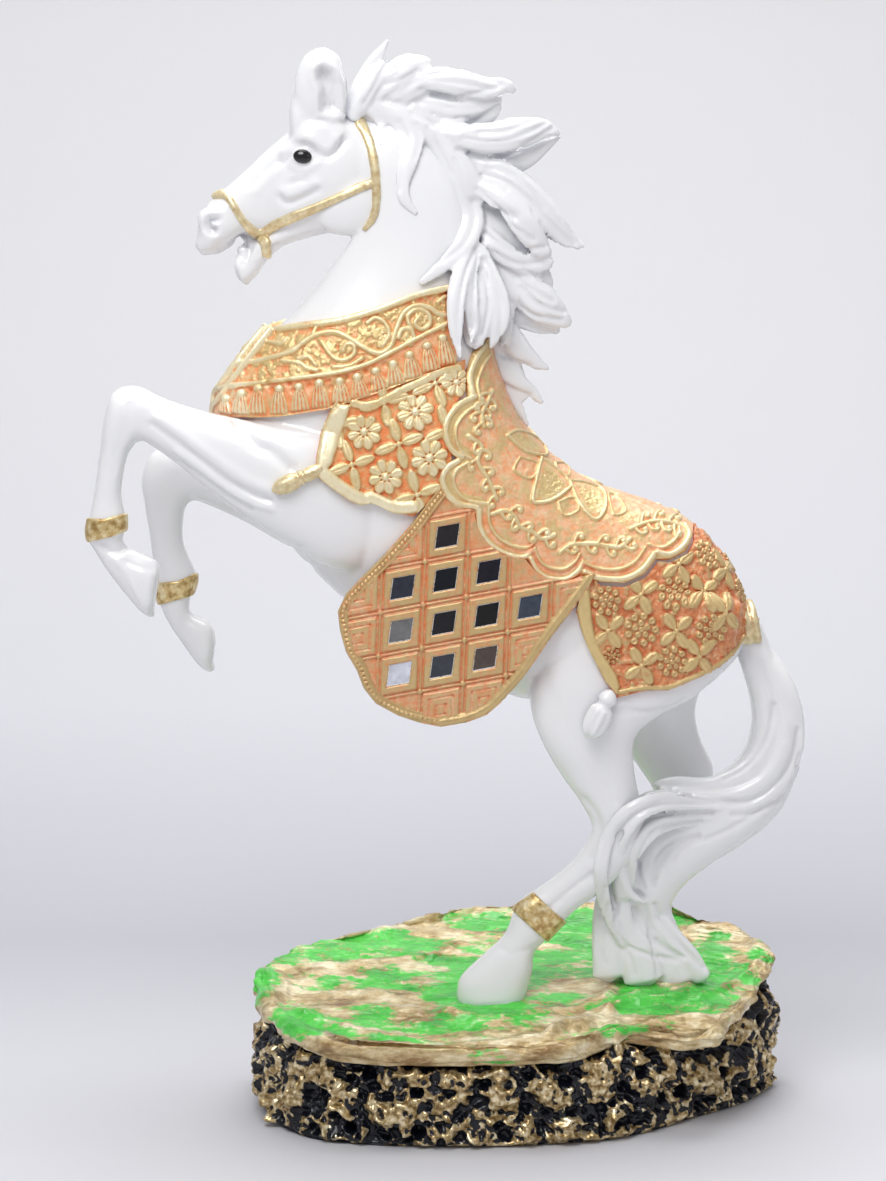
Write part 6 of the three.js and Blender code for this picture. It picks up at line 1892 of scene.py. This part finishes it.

# The studio: the paper's painted light and shade by its rise, its bend in mm, lamps as [place, aim, size,
# power] in metres
PAPER_PAINTED_LIGHT_AND_SHADE = [(0.02, (0.68, 0.68, 0.71)), (0.19, (0.47, 0.47, 0.51)), (0.38, (0.66, 0.66, 0.70)),
               (0.9, (0.83, 0.83, 0.84))]
PAPER_HALF = 3000.0
PAPER_START, PAPER_FOOT, PAPER_BEND, PAPER_TOP = -2600, 500, 500, 3500
LAMPS = {
    "key_lamp": ((-0.22, -0.50, 0.84), (-0.04, 0, 0.32), 0.5, 4.0),
    "fill_lamp": ((1.2, -0.9, 0.7), (0, 0, 0.2), 1.0, 1.0),
    "top_lamp": ((0.12, 0.26, 0.95), (0, 0, 0.3), 0.6, 2.4),
    "back_lamp": ((0.0, 0.3, 2.2), (0, 1.0, 1.1), 1.5, 20),
}
AIR_TONE = (0.90, 0.90, 0.93, 1)
AIR_STRENGTH = 0.44
SENSOR_WIDTH = 36
CLIP_START = 0.05


def paper():
    """Pale paper, seen from its front only, so that nothing hides the horse from behind."""
    paint = Paint("studio_paper", Roughness=0.9)
    parts = paint.node("SeparateXYZ", "Z", {"Vector": paint.place}).node.outputs
    rise = paint.math("ADD", paint.math("MULTIPLY", parts["Y"], 0.4), parts["Z"])
    # Painted light and shade: the paper darkens in a band on the floor under and behind the horse, and
    # lightens towards the front and up the backdrop.
    paint.look(Base_Color=paint.ramp(paint.math("ADD", rise, 0.1), PAPER_PAINTED_LIGHT_AND_SHADE))
    behind = paint.node("NewGeometry", "Backfacing", {})
    clear = paint.node("BsdfTransparent", "BSDF", {})
    one_sided = paint.node("MixShader", "Shader", {0: behind, 1: paint.shader.outputs["BSDF"], 2: clear})
    paint.put(one_sided, paint.nodes["Material Output"].inputs["Surface"])
    return paint.material


def studio():
    """A pale floor that runs up into a backdrop, four soft lamps and the photograph's camera."""
    turn = np.linspace(0, math.pi / 2, 12)
    bend = [(PAPER_START, 0), (PAPER_FOOT, 0)]
    bend += [(PAPER_FOOT + PAPER_BEND * math.sin(a), PAPER_BEND - PAPER_BEND * math.cos(a)) for a in turn]
    bend += [(PAPER_FOOT + PAPER_BEND, PAPER_TOP)]
    corners = np.array([[side, y, z] for y, z in bend for side in (-PAPER_HALF, PAPER_HALF)], float)
    faces = np.array([[2 * i, 2 * i + 1, 2 * i + 3, 2 * i + 2] for i in range(len(bend) - 1)])
    floor = mesh_object("studio_floor", corners, faces, paper())
    for name, (place, aim, size, power) in LAMPS.items():
        light = bpy.data.lights.new(name, "AREA")
        light.shape = "DISK"
        light.size = size
        light.energy = power
        lamp = linked(name, light)
        lamp.location = place
        lamp.rotation_euler = (Vector(aim) - Vector(place)).to_track_quat("-Z", "Y").to_euler()
    world = bpy.data.worlds.new("studio_air")
    bpy.context.scene.world = world
    world.use_nodes = True
    air = world.node_tree.nodes["Background"]
    air.inputs["Color"].default_value = AIR_TONE
    air.inputs["Strength"].default_value = AIR_STRENGTH
    lens = bpy.data.cameras.new("photo_camera")
    lens.sensor_fit = "AUTO"
    lens.sensor_width = SENSOR_WIDTH
    lens.lens = FOCAL_PIXELS / PHOTO_HEIGHT * SENSOR_WIDTH
    lens.clip_start = CLIP_START
    camera = linked("photo_camera", lens)
    camera.location = Vector(CAMERA * MM)
    camera.rotation_euler = (math.pi / 2 - TILT, 0, 0)
    bpy.context.scene.camera = camera


studio()
bpy.context.scene.view_settings.view_transform = "Standard"
